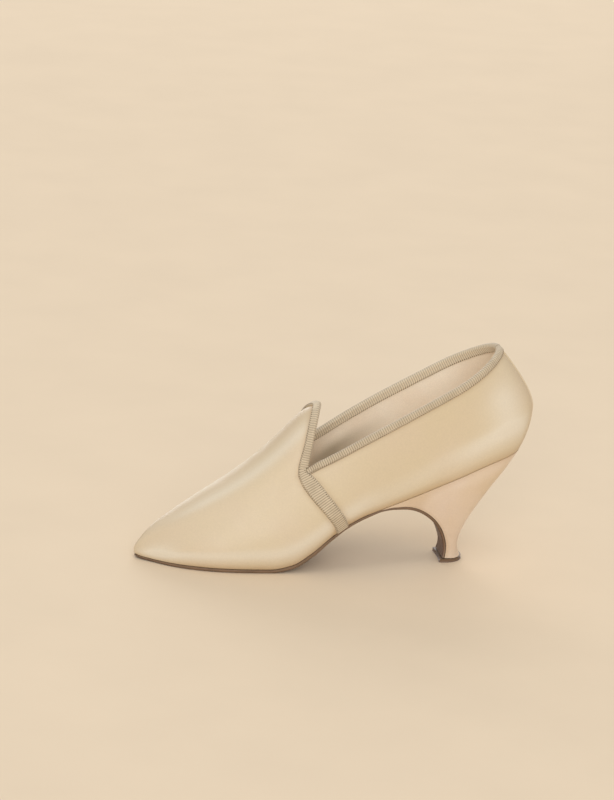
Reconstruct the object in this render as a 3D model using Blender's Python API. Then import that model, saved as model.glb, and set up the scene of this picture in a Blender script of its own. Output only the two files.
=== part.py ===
"""A wedding slipper with a peaked tongue, ribbon bindings and a curved heel.

One shoe, made on a straight last, so it fits either foot. The toe points along -X, the heel along
+X, and the shoe stands on the plane z = 0. Lengths below are millimetres, and the meshes are metres.

A station along the shoe is counted from the toe: millimetres up to FAN_X, and past that the degrees
of a fan of ribs that turns round the heel, so FAN_X + 90 is the centre back.
"""

from math import radians

import bmesh
import bpy
import numpy as np

MM = 0.001
SLIGHT = 0.01

# Driving dimensions
LENGTH = 240.0
ORIGIN_X = LENGTH / 2
FAN_X = 185.0
CENTRE_BACK = FAN_X + 90.0
NOSE = 4.6
TOE_TUCK = 1.0
TUCK_LENGTH = 14.0
SEAT_BACK_X = 234.2
COLLAR_BACK_X = 216.2
THROAT_X = 98.0
TONGUE_REACH = 9.4
TONGUE_POINT = 1.25

# Thicknesses and clearances
GAP = 0.3
WALL = 1.6
TAPE = 0.8
BINDING_WIDTH = 4.0
BINDING_DEPTHS = np.linspace(0, BINDING_WIDTH, 3)
BINDING_START = 3.4
FOLD_ROUND = 0.55
INSOLE = 2.0
INSOLE_INSET = 2.2
INSOLE_TIP = 0.6
LIFT = 2.0
SOLE_PROUD = 0.4
SOLE_BEVEL = 0.8

# Shape of a rib, as shares of its own rise: from feather edge to bulge, and from bulge to topline
BULGE_AT = 0.35
LOWER_FULLNESS = 0.48
UPPER_FULLNESS = 0.28
CROWN_LIFT = 0.4
CROWN_WIDTH = 0.68


class Table:
    """Rows of named columns, read between the rows by a smooth curve that never overshoots."""

    def __init__(self, columns, *rows):
        self.columns = columns.split()
        self.rows = np.array(rows, float)

    def read(self, column, at):
        x = self.rows[:, 0]
        y = self.rows[:, self.columns.index(column)]
        at = np.clip(np.asarray(at, float), x[0], x[-1])
        step = np.diff(x)
        rise = np.diff(y) / step
        slope = np.zeros_like(y)
        slope[0], slope[-1] = rise[0], rise[-1]
        same_way = rise[:-1] * rise[1:] > 0
        before, after = rise[:-1][same_way], rise[1:][same_way]
        slope[1:-1][same_way] = 2 * before * after / (before + after)
        i = np.clip(np.searchsorted(x, at) - 1, 0, len(step) - 1)
        t = (at - x[i]) / step[i]
        return (
            y[i] * (1 + 2 * t) * (1 - t) ** 2
            + slope[i] * step[i] * t * (1 - t) ** 2
            + y[i + 1] * t**2 * (3 - 2 * t)
            + slope[i + 1] * step[i] * t**2 * (t - 1)
        )


# Underside of the last: toe spring, flat forepart, shank and heel seat
BOTTOM = Table(
    "x height",
    (0, 2.3),
    (12, 2.0),
    (24, 2.2),
    (34, 2.3),
    (80, 2.3),
    (93, 5.0),
    (104, 12.2),
    (115, 22.0),
    (126, 30.6),
    (136, 36.3),
    (147, 40.8),
    (168, 49.2),
    (190, 58.3),
    (212, 66.8),
    (SEAT_BACK_X, 72.2),
)

# Feather edge, where the upper meets the sole, and the bulge of the wall above it
WALL_LINES = Table(
    "station feather_half bulge_half bulge_rise",
    (0, 2.6, 3.0, 2.0),
    (9, 8.3, 8.9, 5.0),
    (18, 14.8, 15.7, 6.5),
    (26, 19.4, 20.7, 8.0),
    (35, 22.9, 24.9, 9.5),
    (44, 25.4, 28.0, 10.5),
    (53, 27.1, 30.0, 11.5),
    (64, 28.1, 31.4, 12.5),
    (80, 28.5, 32.4, 13.5),
    (97, 28.3, 32.0, 15.0),
    (115, 27.7, 31.2, 16.0),
    (132, 27.1, 30.3, 16.5),
    (152, 26.4, 29.2, 17.5),
    (173, 25.3, 27.9, 19.0),
    (FAN_X, 24.5, 27.0, 20.5),
    (CENTRE_BACK, 22.5, 25.5, 26.0),
)

# Shoulder of the vamp as far as the throat, and from there on the topline of the quarters
TOPLINE = Table(
    "station half_width height",
    (0, 2.2, 5.0),
    (9, 6.2, 14.0),
    (18, 11.0, 19.6),
    (26, 14.5, 23.4),
    (35, 17.4, 27.0),
    (44, 19.4, 30.8),
    (53, 20.8, 35.0),
    (64, 22.0, 41.0),
    (80, 22.8, 50.8),
    (THROAT_X, 23.2, 63.9),
    (115, 25.6, 74.2),
    (132, 27.4, 84.9),
    (150, 28.2, 95.6),
    (168, 27.7, 106.0),
    (FAN_X, 26.9, 115.8),
    (FAN_X + 30, 25.4, 125.3),
    (FAN_X + 60, 23.8, 133.1),
    (FAN_X + 80, 22.6, 135.7),
    (CENTRE_BACK, 22.0, 136.0),
)

# Ridge of the vamp, from the toe up to the peak of the tongue
CROWN = Table(
    "x height",
    (0, 5.8),
    (1, 8.4),
    (3, 12.0),
    (6.5, 16.4),
    (13, 22.2),
    (21, 27.8),
    (39.5, 40.9),
    (57, 52.9),
    (69, 62.4),
    (80, 72.8),
    (89, 82.8),
    (95.6, 90.2),
    (101, 95.0),
    (THROAT_X + TONGUE_REACH, 99.0),
)

# Ribbon over the side seam, seen square from the side: its two edges, from the sole up to the throat
SIDE_BAND = Table(
    "run rear_x rear_height front_x front_height",
    (0, 125.8, 30.4, 119.0, 25.2),
    (1, 122.9, 36.4, 116.2, 30.9),
    (2, 118.0, 43.3, 111.0, 37.7),
    (3, 112.2, 50.2, 104.8, 44.3),
    (4, 107.2, 56.2, 99.1, 50.8),
    (5, 102.8, 60.6, 95.4, 56.2),
    (6, THROAT_X + 0.4, 63.6, 93.7, 60.4),
)
BAND_HEAD_WIDTH = 4.2

# Walking face of the outsole past the shank: under the arch and down the breast of the heel
BREAST = Table(
    "x height half_width",
    (147, 38.3, 26.6),
    (154, 39.6, 26.2),
    (163.5, 39.2, 24.8),
    (172, 35.6, 21.6),
    (180.3, 28.6, 16.6),
    (186, 20.6, 11.8),
    (189.4, 12.3, 8.8),
    (190, 7.0, 8.8),
    (189.4, 2.8, 9.8),
)
SHANK_END_X = 136.0
BREAST_STEPS = 25
SOLE_FOREPART = 2.0
SOLE_BREAST = 1.4

# Thickness of the outsole, which is pared thin towards the toe
FORESOLE = Table(
    "x thickness",
    (0, 0.9),
    (14, 1.4),
    (32, SOLE_FOREPART),
    (SHANK_END_X, SOLE_FOREPART),
)

# Sections of the heel block, by share of the breast from the lift up to the seat
HEEL = Table(
    "breast_share back_height side_half round_share",
    (0.0, 2.4, 10.0, 0.74),
    (0.05, 4.4, 9.0, 0.73),
    (0.1, 7.0, 8.4, 0.72),
    (0.2, 12.0, 8.6, 0.70),
    (0.3, 18.0, 10.2, 0.68),
    (0.4, 24.5, 12.4, 0.66),
    (0.5, 32.0, 15.0, 0.64),
    (0.6, 40.0, 17.6, 0.62),
    (0.7, 48.0, 19.8, 0.60),
    (0.8, 56.0, 21.6, 0.58),
    (0.9, 63.5, 23.0, 0.57),
)
HEEL_BACK = Table(
    "height x",
    (2.3, 202.3),
    (6, 200.6),
    (10, 200.2),
    (17, 201.6),
    (25.3, 205.0),
    (39.4, 213.0),
    (49.7, 219.6),
    (63.8, 229.3),
    (72, SEAT_BACK_X),
)
HEEL_FRONT_X = 150.0
LIFT_FRONT_X = 188.0
LIFT_BACK_X = 202.8
LIFT_HALF = 10.4
LIFT_HOLLOW = 0.9
LIFT_CORNER_X = 192.0


# The last: every form of the upper is read from these functions


def stack(x, y, z):
    return np.stack(np.broadcast_arrays(x, y, z), axis=-1).astype(float)


def fan_x(station, back_x):
    """Distance from the toe of a station, on a line that ends at back_x."""
    turn = np.radians(np.clip(station - FAN_X, 0, 90))
    return np.minimum(station, FAN_X) + (back_x - FAN_X) * np.sin(turn)


def rounded(station, half_width):
    """A half width that closes in a round nose at the toe and in a round fan at the heel."""
    nose = np.sqrt(1 - (1 - np.clip(station / NOSE, 0, 1)) ** 2)
    turn = np.radians(np.clip(station - FAN_X, 0, 90))
    return half_width * nose * np.cos(turn)


def feather(station):
    tuck = TOE_TUCK * np.clip(1 - station / TUCK_LENGTH, 0, 1) ** 2
    x = fan_x(station, SEAT_BACK_X) + tuck
    y = -rounded(station, WALL_LINES.read("feather_half", station))
    return stack(x, y, BOTTOM.read("height", x))


def bulge(station):
    y = -rounded(station, WALL_LINES.read("bulge_half", station))
    z = feather(station)[..., 2] + WALL_LINES.read("bulge_rise", station)
    return stack(fan_x(station, LENGTH), y, z)


def topline(station):
    y = -rounded(station, TOPLINE.read("half_width", station))
    return stack(fan_x(station, COLLAR_BACK_X), y, TOPLINE.read("height", station))


def above(point, height):
    """The same point moved to a height."""
    return stack(point[..., 0], point[..., 1], height)


def wall(station, share):
    """Outside of the near wall: share 0 is the feather edge, BULGE_AT the bulge, 1 the topline."""
    station, share = np.broadcast_arrays(np.asarray(station, float), np.asarray(share, float))
    low, mid, top = feather(station), bulge(station), topline(station)
    foot = above(mid, low[..., 2] + LOWER_FULLNESS * (mid - low)[..., 2])
    head = above(mid, mid[..., 2] + UPPER_FULLNESS * (top - mid)[..., 2])
    t = np.clip(share / BULGE_AT, 0, 1)[..., None]
    lower = (1 - t) ** 2 * low + 2 * t * (1 - t) * foot + t**2 * mid
    t = np.clip((share - BULGE_AT) / (1 - BULGE_AT), 0, 1)[..., None]
    upper = (1 - t) ** 2 * mid + 2 * t * (1 - t) * head + t**2 * top
    return np.where((share < BULGE_AT)[..., None], lower, upper)


def crown(x, share):
    """Outside of the near half of the vamp: share 0 is the shoulder or topline, 1 the ridge."""
    x, share = np.broadcast_arrays(np.asarray(x, float), np.asarray(share, float))
    mid, top = bulge(x), topline(x)
    head = above(mid, mid[..., 2] + UPPER_FULLNESS * (top - mid)[..., 2])
    ridge = stack(x, np.zeros_like(x), CROWN.read("height", x))
    first = top + unit(top - head) * CROWN_LIFT * (ridge - top)[..., 2:]
    last = stack(x, CROWN_WIDTH * top[..., 1], ridge[..., 2])
    t = share[..., None]
    s = 1 - t
    return s**3 * top + 3 * s**2 * t * first + 3 * s * t**2 * last + t**3 * ridge


def tongue_x(share):
    """How far back the tongue reaches, from the throat up to its peak."""
    return THROAT_X + TONGUE_REACH * np.asarray(share, float) ** TONGUE_POINT


def frame_of(surface, u, v, du, dv):
    """Slopes of a surface along u and v, and its unit normal, outward on the near side."""
    along = (surface(u + du, v) - surface(u - du, v)) / (2 * du)
    up = (surface(u, v + dv) - surface(u, v - dv)) / (2 * dv)
    return along, up, unit(np.cross(along, up))


def unit(vector):
    return vector / np.linalg.norm(vector, axis=-1, keepdims=True)


def run_length(points):
    """Length along a line of points, from its first point to each."""
    return np.concatenate([[0], np.cumsum(np.linalg.norm(np.diff(points, axis=0), axis=1))])


def far_side(points):
    return points * np.array([1.0, -1.0, 1.0])


# Mesh helpers


def material(name, colour, roughness):
    made = bpy.data.materials.new(name)
    made.use_nodes = True
    shader = made.node_tree.nodes["Principled BSDF"]
    shader.inputs["Base Color"].default_value = (*colour, 1.0)
    shader.inputs["Roughness"].default_value = roughness
    shader.inputs["Metallic"].default_value = 0.0
    made.diffuse_color = (*colour, 1.0)
    return made


def new_piece(name, bm, finish, root):
    """One named object from a bmesh in the toe's millimetres, moved to the shoe's own frame."""
    bmesh.ops.translate(bm, verts=bm.verts, vec=(-ORIGIN_X, 0, 0))
    bmesh.ops.scale(bm, verts=bm.verts, vec=(MM, MM, MM))
    mesh = bpy.data.meshes.new(name)
    bm.to_mesh(mesh)
    bm.free()
    mesh.shade_smooth()
    mesh.set_sharp_from_angle(angle=radians(40))
    mesh.materials.append(finish)
    piece = bpy.data.objects.new(name, mesh)
    piece.parent = root
    bpy.context.scene.collection.objects.link(piece)
    return piece


def add_grid(bm, grid, turn=False):
    """Quads over a grid of points; turn makes them face the other way."""
    rows, columns = grid.shape[:2]
    verts = [[bm.verts.new(point) for point in row] for row in grid]
    for i in range(rows - 1):
        for j in range(columns - 1):
            quad = (verts[i][j], verts[i + 1][j], verts[i + 1][j + 1], verts[i][j + 1])
            bm.faces.new(quad[::-1] if turn else quad)


def add_loft(bm, rings):
    """A closed tube through rings of points, with a flat cap at each end."""
    verts = [[bm.verts.new(point) for point in ring] for ring in rings]
    count = len(verts[0])
    for one, two in zip(verts, verts[1:]):
        for j in range(count):
            k = (j + 1) % count
            bm.faces.new((one[j], one[k], two[k], two[j]))
    bm.faces.new(verts[0][::-1])
    bm.faces.new(verts[-1])


def merge(bm):
    bmesh.ops.remove_doubles(bm, verts=bm.verts, dist=1e-4)


def face_out(bm):
    bmesh.ops.recalc_face_normals(bm, faces=bm.faces)


def loft_piece(name, rings, finish, root):
    bm = bmesh.new()
    add_loft(bm, rings)
    merge(bm)
    face_out(bm)
    return new_piece(name, bm, finish, root)


# Stations, closer together where the form turns quickly

NOSE_STEPS = 6
nose_turns = np.radians(np.linspace(0, 90, NOSE_STEPS + 1))
nose_stations = NOSE * (1 - np.cos(nose_turns))
TONGUE_ROOT_X = 81.0
vamp_stations = np.concatenate(
    [
        nose_stations[:-1],
        np.linspace(NOSE, TONGUE_ROOT_X, 13),
        np.linspace(TONGUE_ROOT_X, THROAT_X, 7)[1:],
    ]
)
quarter_stations = np.concatenate(
    [np.linspace(THROAT_X, FAN_X, 15), np.linspace(FAN_X, CENTRE_BACK, 14)[1:]]
)
WALL_SHARES = np.concatenate(
    [np.linspace(0, BULGE_AT, 4), np.linspace(BULGE_AT, 1, 7)[1:]]
)
CROWN_SHARES = np.linspace(0, 1, 11)


# The pieces


def make_upper(finish, root):
    """Vamp, tongue and quarters: one shell, with its wall added inwards."""
    bm = bmesh.new()
    stations = np.concatenate([vamp_stations, quarter_stations[1:]])
    side = wall(stations[:, None], WALL_SHARES[None, :])
    reach = tongue_x(CROWN_SHARES) / THROAT_X
    top = crown(vamp_stations[:, None] * reach[None, :], CROWN_SHARES[None, :])
    for grid in (side, top):
        add_grid(bm, grid)
        add_grid(bm, far_side(grid), turn=True)
    merge(bm)
    upper = new_piece("upper", bm, finish, root)
    thick = upper.modifiers.new("wall", "SOLIDIFY")
    thick.thickness = WALL * MM
    thick.offset = -1
    thick.use_even_offset = True
    thick.use_quality_normals = True
    return upper


def folded_ring(outside, normal, rim):
    """Section of a ribbon folded over an edge.

    outside holds points of the upper's outside from the edge inwards, normal the outward normals
    there, and rim the direction in which the edge faces.
    """
    inside = outside - normal * WALL
    full = GAP + TAPE
    over = rim * full
    lean = normal[0] * full * FOLD_ROUND
    skin = [
        *(outside + normal * full)[::-1],
        outside[0] + lean + over,
        inside[0] - lean + over,
        *(inside - normal * full),
    ]
    under = [
        *(inside - normal * GAP)[:0:-1],
        inside[0] - normal[0] * GAP + rim * GAP,
        outside[0] + normal[0] * GAP + rim * GAP,
        *(outside + normal * GAP)[1:],
    ]
    return np.array(skin + under)


def topline_ring(station):
    """Folded section at one station of the collar, on the near side."""
    at = np.minimum(station, CENTRE_BACK - SLIGHT)
    shares = np.linspace(1, BULGE_AT, 80)
    share = np.interp(BINDING_DEPTHS, run_length(wall(at, shares)), shares)
    share = np.minimum(share, 0.999)
    _, up, normal = frame_of(wall, at, share, SLIGHT / 2, 0.0005)
    return folded_ring(wall(at, share), normal, unit(up[0]))


def make_topline_binding(finish, root):
    """Ribbon over the collar, from throat to throat round the back."""
    start = THROAT_X + BINDING_START
    stations = np.concatenate([[start], quarter_stations[quarter_stations > start + 2]])
    near = [topline_ring(station) for station in stations]
    near[-1][:, 1] = 0.0
    far = [far_side(ring) for ring in near[-2::-1]]
    return loft_piece("topline_binding", near + far, finish, root)


def tongue_ring(share):
    """Folded section at one share of the tongue's edge, from throat to peak."""
    x = tongue_x(share)
    step = 0.01
    run = crown(tongue_x(share), share) - crown(tongue_x(share - step), share - step)
    if share == 1:
        run = np.array([0.0, 1.0, 0.0])
    run = unit(run)
    inside_peak = min(share, 0.98)
    along, _, _ = frame_of(crown, x - 0.5, inside_peak, 0.4, step)
    across = along - run * (along @ run)
    reach = BINDING_DEPTHS / np.linalg.norm(across)
    _, _, normal = frame_of(crown, x - np.maximum(reach, 0.5), inside_peak, 0.4, step)
    return folded_ring(crown(x - reach, share), normal, unit(across))


def make_tongue_binding(finish, root):
    """Ribbon over the peaked edge of the tongue, from throat to throat."""
    shares = CROWN_SHARES[1:]
    near = [tongue_ring(share) for share in shares]
    near[-1][:, 1] = 0.0
    far = [far_side(ring) for ring in near[-2::-1]]
    return loft_piece("tongue_binding", near + far, finish, root)


def slab(grid, normals, low, high):
    """Rings of a sheet that lies on a surface, between two heights above it."""
    rings = []
    for points, out in zip(grid, normals):
        rings.append([*(points + out * low), *(points + out * high)[::-1]])
    return np.array(rings)


BAND_HEAD_SHARES = (0.03, 0.075)
BAND_SETBACK = 0.6
BAND_ROWS = 16
BAND_COLUMNS = 5
BAND_REACH = (0.02, 0.985)


def share_at(x, height):
    """Share of the rib at x where the wall reaches a height."""
    shares = np.linspace(*BAND_REACH, 120)
    ribs = wall(x[..., None], shares)[..., 2].reshape(-1, len(shares))
    found = [np.interp(z, rib, shares) for z, rib in zip(height.ravel(), ribs)]
    return np.array(found).reshape(x.shape)


def edge_blend(of, run, columns):
    """Side view of the band: from its rear edge at column 0 to its front edge at column 1."""
    rear = SIDE_BAND.read("rear_" + of, run)
    return rear + (SIDE_BAND.read("front_" + of, run) - rear) * columns


def make_side_band(name, finish, root, far):
    """Ribbon laid flat over the side seam, from the sole up to the tongue's ribbon."""
    run = np.linspace(0, SIDE_BAND.rows[-1, 0], BAND_ROWS)[:, None]
    columns = np.linspace(0, 1, BAND_COLUMNS)[None, :]
    x = edge_blend("x", run, columns)
    share = share_at(x, edge_blend("height", run, columns))
    _, _, normal = frame_of(wall, x, share, 0.5, 0.01)
    head = np.array(BAND_HEAD_SHARES)[:, None]
    head_x = tongue_x(head) - BAND_SETBACK - BAND_HEAD_WIDTH * columns
    head, _ = np.broadcast_arrays(head, columns)
    _, _, head_normal = frame_of(crown, head_x, head, 0.5, 0.01)
    grid = np.concatenate([wall(x, share), crown(head_x, head)])
    normal = np.concatenate([normal, head_normal])
    rings = slab(grid, normal, GAP, GAP + TAPE)
    return loft_piece(name, far_side(rings) if far else rings, finish, root)


BACK_STRIP_HALF = 1.2
BACK_STRIP = 0.6
BACK_STRIP_FOOT = 0.02
BACK_STRIP_TOP = 0.957
BACK_STRIP_ROWS = 16


def make_back_strip(finish, root):
    """Narrow strip over the seam at the centre back, from the heel seat to the collar's ribbon."""
    shares = np.linspace(BACK_STRIP_FOOT, BACK_STRIP_TOP, BACK_STRIP_ROWS)
    at = CENTRE_BACK - SLIGHT
    _, _, normal = frame_of(wall, at, shares, SLIGHT / 2, 0.002)
    line = wall(at, shares)
    line[:, 1] = normal[:, 1] = 0.0
    side = np.array([0.0, BACK_STRIP_HALF, 0.0])
    grid = np.stack([line - side, line, line + side], axis=1)
    out = np.repeat(normal[:, None, :], 3, axis=1)
    return loft_piece("back_strip", slab(grid, out, GAP, GAP + BACK_STRIP), finish, root)


def make_insole(finish, root):
    """Inner floor: a slab on the last's underside, inset from the walls."""
    stations = np.concatenate([vamp_stations[3:], quarter_stations[1:-2]])
    edge = feather(stations)
    shrink = (SEAT_BACK_X - 2 * INSOLE_INSET) / SEAT_BACK_X
    x = INSOLE_INSET + edge[:, 0] * shrink
    half = np.maximum(-edge[:, 1] - INSOLE_INSET, INSOLE_TIP)
    low = BOTTOM.read("height", x)
    rings = [
        [(a, -b, c), (a, b, c), (a, b, c + INSOLE), (a, -b, c + INSOLE)]
        for a, b, c in zip(x, half, low)
    ]
    return loft_piece("insole", np.array(rings), finish, root)


def sole_run():
    """The outsole's centre line on its walking face, with its upward normal, half width and thickness."""
    stations = np.concatenate([nose_stations[1:-1], np.linspace(NOSE, SHANK_END_X, 27)])
    edge = feather(stations)
    fore_x = edge[:, 0]
    thick = FORESOLE.read("thickness", fore_x)
    step = 0.5
    slope = BOTTOM.read("height", fore_x + step) - BOTTOM.read("height", fore_x - step)
    slope = np.where(fore_x < step, slope * 2, slope) / (2 * step)
    drop = GAP + thick * np.sqrt(1 + slope**2)
    fore = np.stack([fore_x, BOTTOM.read("height", fore_x) - drop], axis=1)
    fine = np.linspace(0, len(BREAST.rows) - 1, BREAST_STEPS)
    back = np.stack([smooth_run(BREAST.rows[:, k], fine) for k in range(3)], axis=1)
    line = np.concatenate([fore, back[:, :2]])
    half = np.concatenate([SOLE_PROUD - edge[:, 1], back[:, 2]])
    thick = np.concatenate([thick, np.linspace(SOLE_FOREPART, SOLE_BREAST, len(back))])
    way = unit(np.gradient(line, axis=0))
    normal = np.stack([-way[:, 1], way[:, 0]], axis=1)
    return line, normal, half, thick


def smooth_run(values, at):
    """Values of a list read between its rows by a Catmull-Rom curve."""
    padded = np.concatenate([[2 * values[0] - values[1]], values, [2 * values[-1] - values[-2]]])
    i = np.clip(at.astype(int), 0, len(values) - 2)
    t = at - i
    a, b, c, d = (padded[i + k] for k in range(4))
    return b + 0.5 * t * (c - a + t * (2 * a - 5 * b + 4 * c - d + t * (3 * (b - c) + d - a)))


def make_outsole(finish, root):
    """Thin leather sole: forepart, waist, and the tongue of leather down the heel's breast."""
    rings = []
    for (x, z), (nx, nz), half, thick in zip(*sole_run()):
        bevel = min(SOLE_BEVEL, half / 2, thick / 2)
        outline = [
            (half, thick),
            (-half, thick),
            (-half, bevel),
            (-half + bevel, 0.0),
            (half - bevel, 0.0),
            (half, bevel),
        ]
        rings.append([(x + nx * up, y, z + nz * up) for y, up in outline])
    return loft_piece("outsole", np.array(rings), finish, root)


HEEL_ROWS = 17
HEEL_SIDE_STEPS = 5
HEEL_ROUND_STEPS = 8


def heel_seat():
    """Near half of the heel's top, from its front corner to the centre back."""
    side = np.linspace(HEEL_FRONT_X, FAN_X, HEEL_SIDE_STEPS, endpoint=False)
    turned = np.linspace(FAN_X, CENTRE_BACK, HEEL_ROUND_STEPS + 1)
    edge = feather(np.concatenate([side, turned]))
    edge[:, 2] -= GAP
    edge[-1, 1] = 0.0
    return edge


def heel_section(front, front_half, share):
    """Near half of one D-shaped section, from its front corner to the centre back."""
    back_z, side_half, round_share = (float(HEEL.read(name, share)) for name in HEEL.columns[1:])
    back = np.array([float(HEEL_BACK.read("x", back_z)), back_z])
    straight = 1 - round_share
    q = np.linspace(0, straight, HEEL_SIDE_STEPS, endpoint=False)
    half = front_half + (side_half - front_half) * q / straight
    turn = np.linspace(0, np.pi / 2, HEEL_ROUND_STEPS + 1)
    q = np.concatenate([q, straight + round_share * np.sin(turn)])
    half = np.concatenate([half, side_half * np.cos(turn)])
    half[-1] = 0.0
    line = front + (back - front) * q[:, None]
    return stack(line[:, 0], -half, line[:, 1])


def make_heel(finish, root):
    """Covered block: sections that turn from the lift's level to the slope of the heel seat."""
    line, normal, half, thick = sole_run()
    face = line + normal * (thick + GAP)[:, None]
    first = np.argmax(face[:, 0] > HEEL_FRONT_X)
    face, half = face[first:][::-1], half[first:][::-1]
    run = run_length(face)
    run /= run[-1]
    halves = []
    for share in np.linspace(0, HEEL.rows[-1, 0], HEEL_ROWS):
        front = np.array([np.interp(share, run, face[:, k]) for k in range(2)])
        halves.append(heel_section(front, np.interp(share, run, half), share))
    halves.append(heel_seat())
    bm = bmesh.new()
    rings = [[*near, *far_side(near)[-2::-1]] for near in halves]
    verts = [[bm.verts.new(point) for point in ring] for ring in rings]
    count = len(verts[0])
    for one, two in zip(verts, verts[1:]):
        for j in range(count):
            k = (j + 1) % count
            bm.faces.new((one[j], one[k], two[k], two[j]))
    for ring in (verts[0], verts[-1]):
        for j in range(len(halves[0]) - 1):
            across = (ring[j], ring[j + 1], ring[-2 - j], ring[-1 - j])
            bm.faces.new(dict.fromkeys(across))
    face_out(bm)
    return new_piece("heel", bm, finish, root)


def make_top_lift(finish, root):
    """D-shaped bottom piece of the heel, with a hollow front edge."""
    across = np.linspace(-1, 1, 7)
    front = stack(LIFT_FRONT_X + LIFT_HOLLOW * (1 - across**2), LIFT_HALF * across, 0)
    turn = np.linspace(0, np.pi, 17)
    reach = LIFT_BACK_X - LIFT_CORNER_X
    back = stack(LIFT_CORNER_X + reach * np.sin(turn), LIFT_HALF * np.cos(turn), 0)
    outline = np.concatenate([front, back])
    rings = [outline + (0, 0, z) for z in (0.0, LIFT)]
    return loft_piece("top_lift", rings, finish, root)


def main():
    for old in list(bpy.data.objects):
        bpy.data.objects.remove(old)
    root = bpy.data.objects.new("slipper", None)
    bpy.context.scene.collection.objects.link(root)
    kid = material("cream_kid", (0.76, 0.60, 0.40), 0.42)
    ribbon = material("ribbed_ribbon", (0.52, 0.42, 0.28), 0.75)
    lining = material("insole_kid", (0.67, 0.51, 0.35), 0.6)
    leather = material("sole_leather", (0.16, 0.09, 0.055), 0.5)
    cover = material("heel_cover", (0.66, 0.47, 0.31), 0.45)
    make_upper(kid, root)
    make_tongue_binding(ribbon, root)
    make_topline_binding(ribbon, root)
    make_side_band("side_band_near", ribbon, root, far=False)
    make_side_band("side_band_far", ribbon, root, far=True)
    make_back_strip(kid, root)
    make_insole(lining, root)
    make_outsole(leather, root)
    make_heel(cover, root)
    make_top_lift(leather, root)


main()
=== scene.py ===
# %% [markdown]
# # A wedding slipper of cream kid, with ribbed ribbon bindings and a covered heel
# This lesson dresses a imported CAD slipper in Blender. The CAD solids hold the true size and the form of
# the last, which is the wooden foot that a shoemaker works over. Here every visible surface is worked
# out again from the same short tables, only finer, so that the ribs of the ribbon, the thread of the
# stitches and the grain of the leather find room on it.
# One could also subdivide the CAD meshes, but loose triangles smooth badly. Formulas give clean grids.

import bmesh
import bpy
import numpy as np
from mathutils import Matrix


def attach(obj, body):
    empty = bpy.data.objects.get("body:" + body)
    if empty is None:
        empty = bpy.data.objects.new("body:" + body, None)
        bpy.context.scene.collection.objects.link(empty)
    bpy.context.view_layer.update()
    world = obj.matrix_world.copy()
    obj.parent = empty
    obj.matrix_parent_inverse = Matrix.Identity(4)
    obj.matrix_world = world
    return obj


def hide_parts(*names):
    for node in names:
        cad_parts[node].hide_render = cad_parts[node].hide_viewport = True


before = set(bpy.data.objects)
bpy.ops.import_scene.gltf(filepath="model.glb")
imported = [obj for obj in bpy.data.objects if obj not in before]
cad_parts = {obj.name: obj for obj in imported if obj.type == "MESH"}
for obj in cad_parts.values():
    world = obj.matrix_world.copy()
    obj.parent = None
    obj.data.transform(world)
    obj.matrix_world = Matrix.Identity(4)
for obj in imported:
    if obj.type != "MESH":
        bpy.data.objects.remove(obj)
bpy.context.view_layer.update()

# %% [markdown]
# ## The last in short tables
# A shoemaker measures a last at a few stations and lets the wood run smoothly between them. The tables
# do the same: a few rows with named columns, read by a curve that never overshoots. A plain polyline
# would show facets in the gloss of the leather, and a free spline would bulge between the rows.
# Lengths are millimetres counted from the toe. Past FAN_X a station counts the degrees of a fan of ribs
# that turns round the heel, so FAN_X + 90 is the centre back. The topline's table goes by length there:
# each degree counts FAN_STEP millimetres, so the collar rises evenly into the turn.

# %% Tables that are read by a smooth curve
MM = 0.001
LENGTH = 240.0
ORIGIN_X = LENGTH / 2
FAN_X = 185.0
CENTRE_BACK = FAN_X + 90.0
FAN_STEP = 0.5
NOSE = 4.6
TOE_TUCK = 1.0
TUCK_LENGTH = 14.0
SEAT_BACK_X = 234.2
COLLAR_BACK_X = 216.2
THROAT_X = 98.0
TONGUE_REACH = 9.4
TONGUE_POINT = 1.25


class Table:
    """Rows of named columns, read between the rows by cubic pieces.

    Each row's slope is the harmonic mean of the slopes beside it, so the curve never overshoots. The
    value at x is then the mean (f(x - r) + 2 f(x) + f(x + r)) / 4, which softens the change of bend at
    a row; r is the table's own reach and shrinks to nothing at both ends.
    """

    def __init__(self, columns, *rows, reach=0.0):
        self.columns = columns.split()
        self.rows = np.array(rows, float)
        self.reach = reach

    def curve(self, column, at):
        x = self.rows[:, 0]
        y = self.rows[:, self.columns.index(column)]
        step = np.diff(x)
        rise = np.diff(y) / step
        slope = np.zeros_like(y)
        slope[0], slope[-1] = rise[0], rise[-1]
        same_way = rise[:-1] * rise[1:] > 0
        before, after = rise[:-1][same_way], rise[1:][same_way]
        slope[1:-1][same_way] = 2 * before * after / (before + after)
        i = np.clip(np.searchsorted(x, at) - 1, 0, len(step) - 1)
        t = (at - x[i]) / step[i]
        return (
            y[i] * (1 + 2 * t) * (1 - t) ** 2
            + slope[i] * step[i] * t * (1 - t) ** 2
            + y[i + 1] * t**2 * (3 - 2 * t)
            + slope[i + 1] * step[i] * t**2 * (t - 1)
        )

    def read(self, column, at):
        first, last = self.rows[0, 0], self.rows[-1, 0]
        at = np.clip(np.asarray(at, float), first, last)
        r = np.minimum(self.reach, np.minimum(at - first, last - at))
        middle = 2 * self.curve(column, at)
        return (self.curve(column, at - r) + middle + self.curve(column, at + r)) / 4


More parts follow.
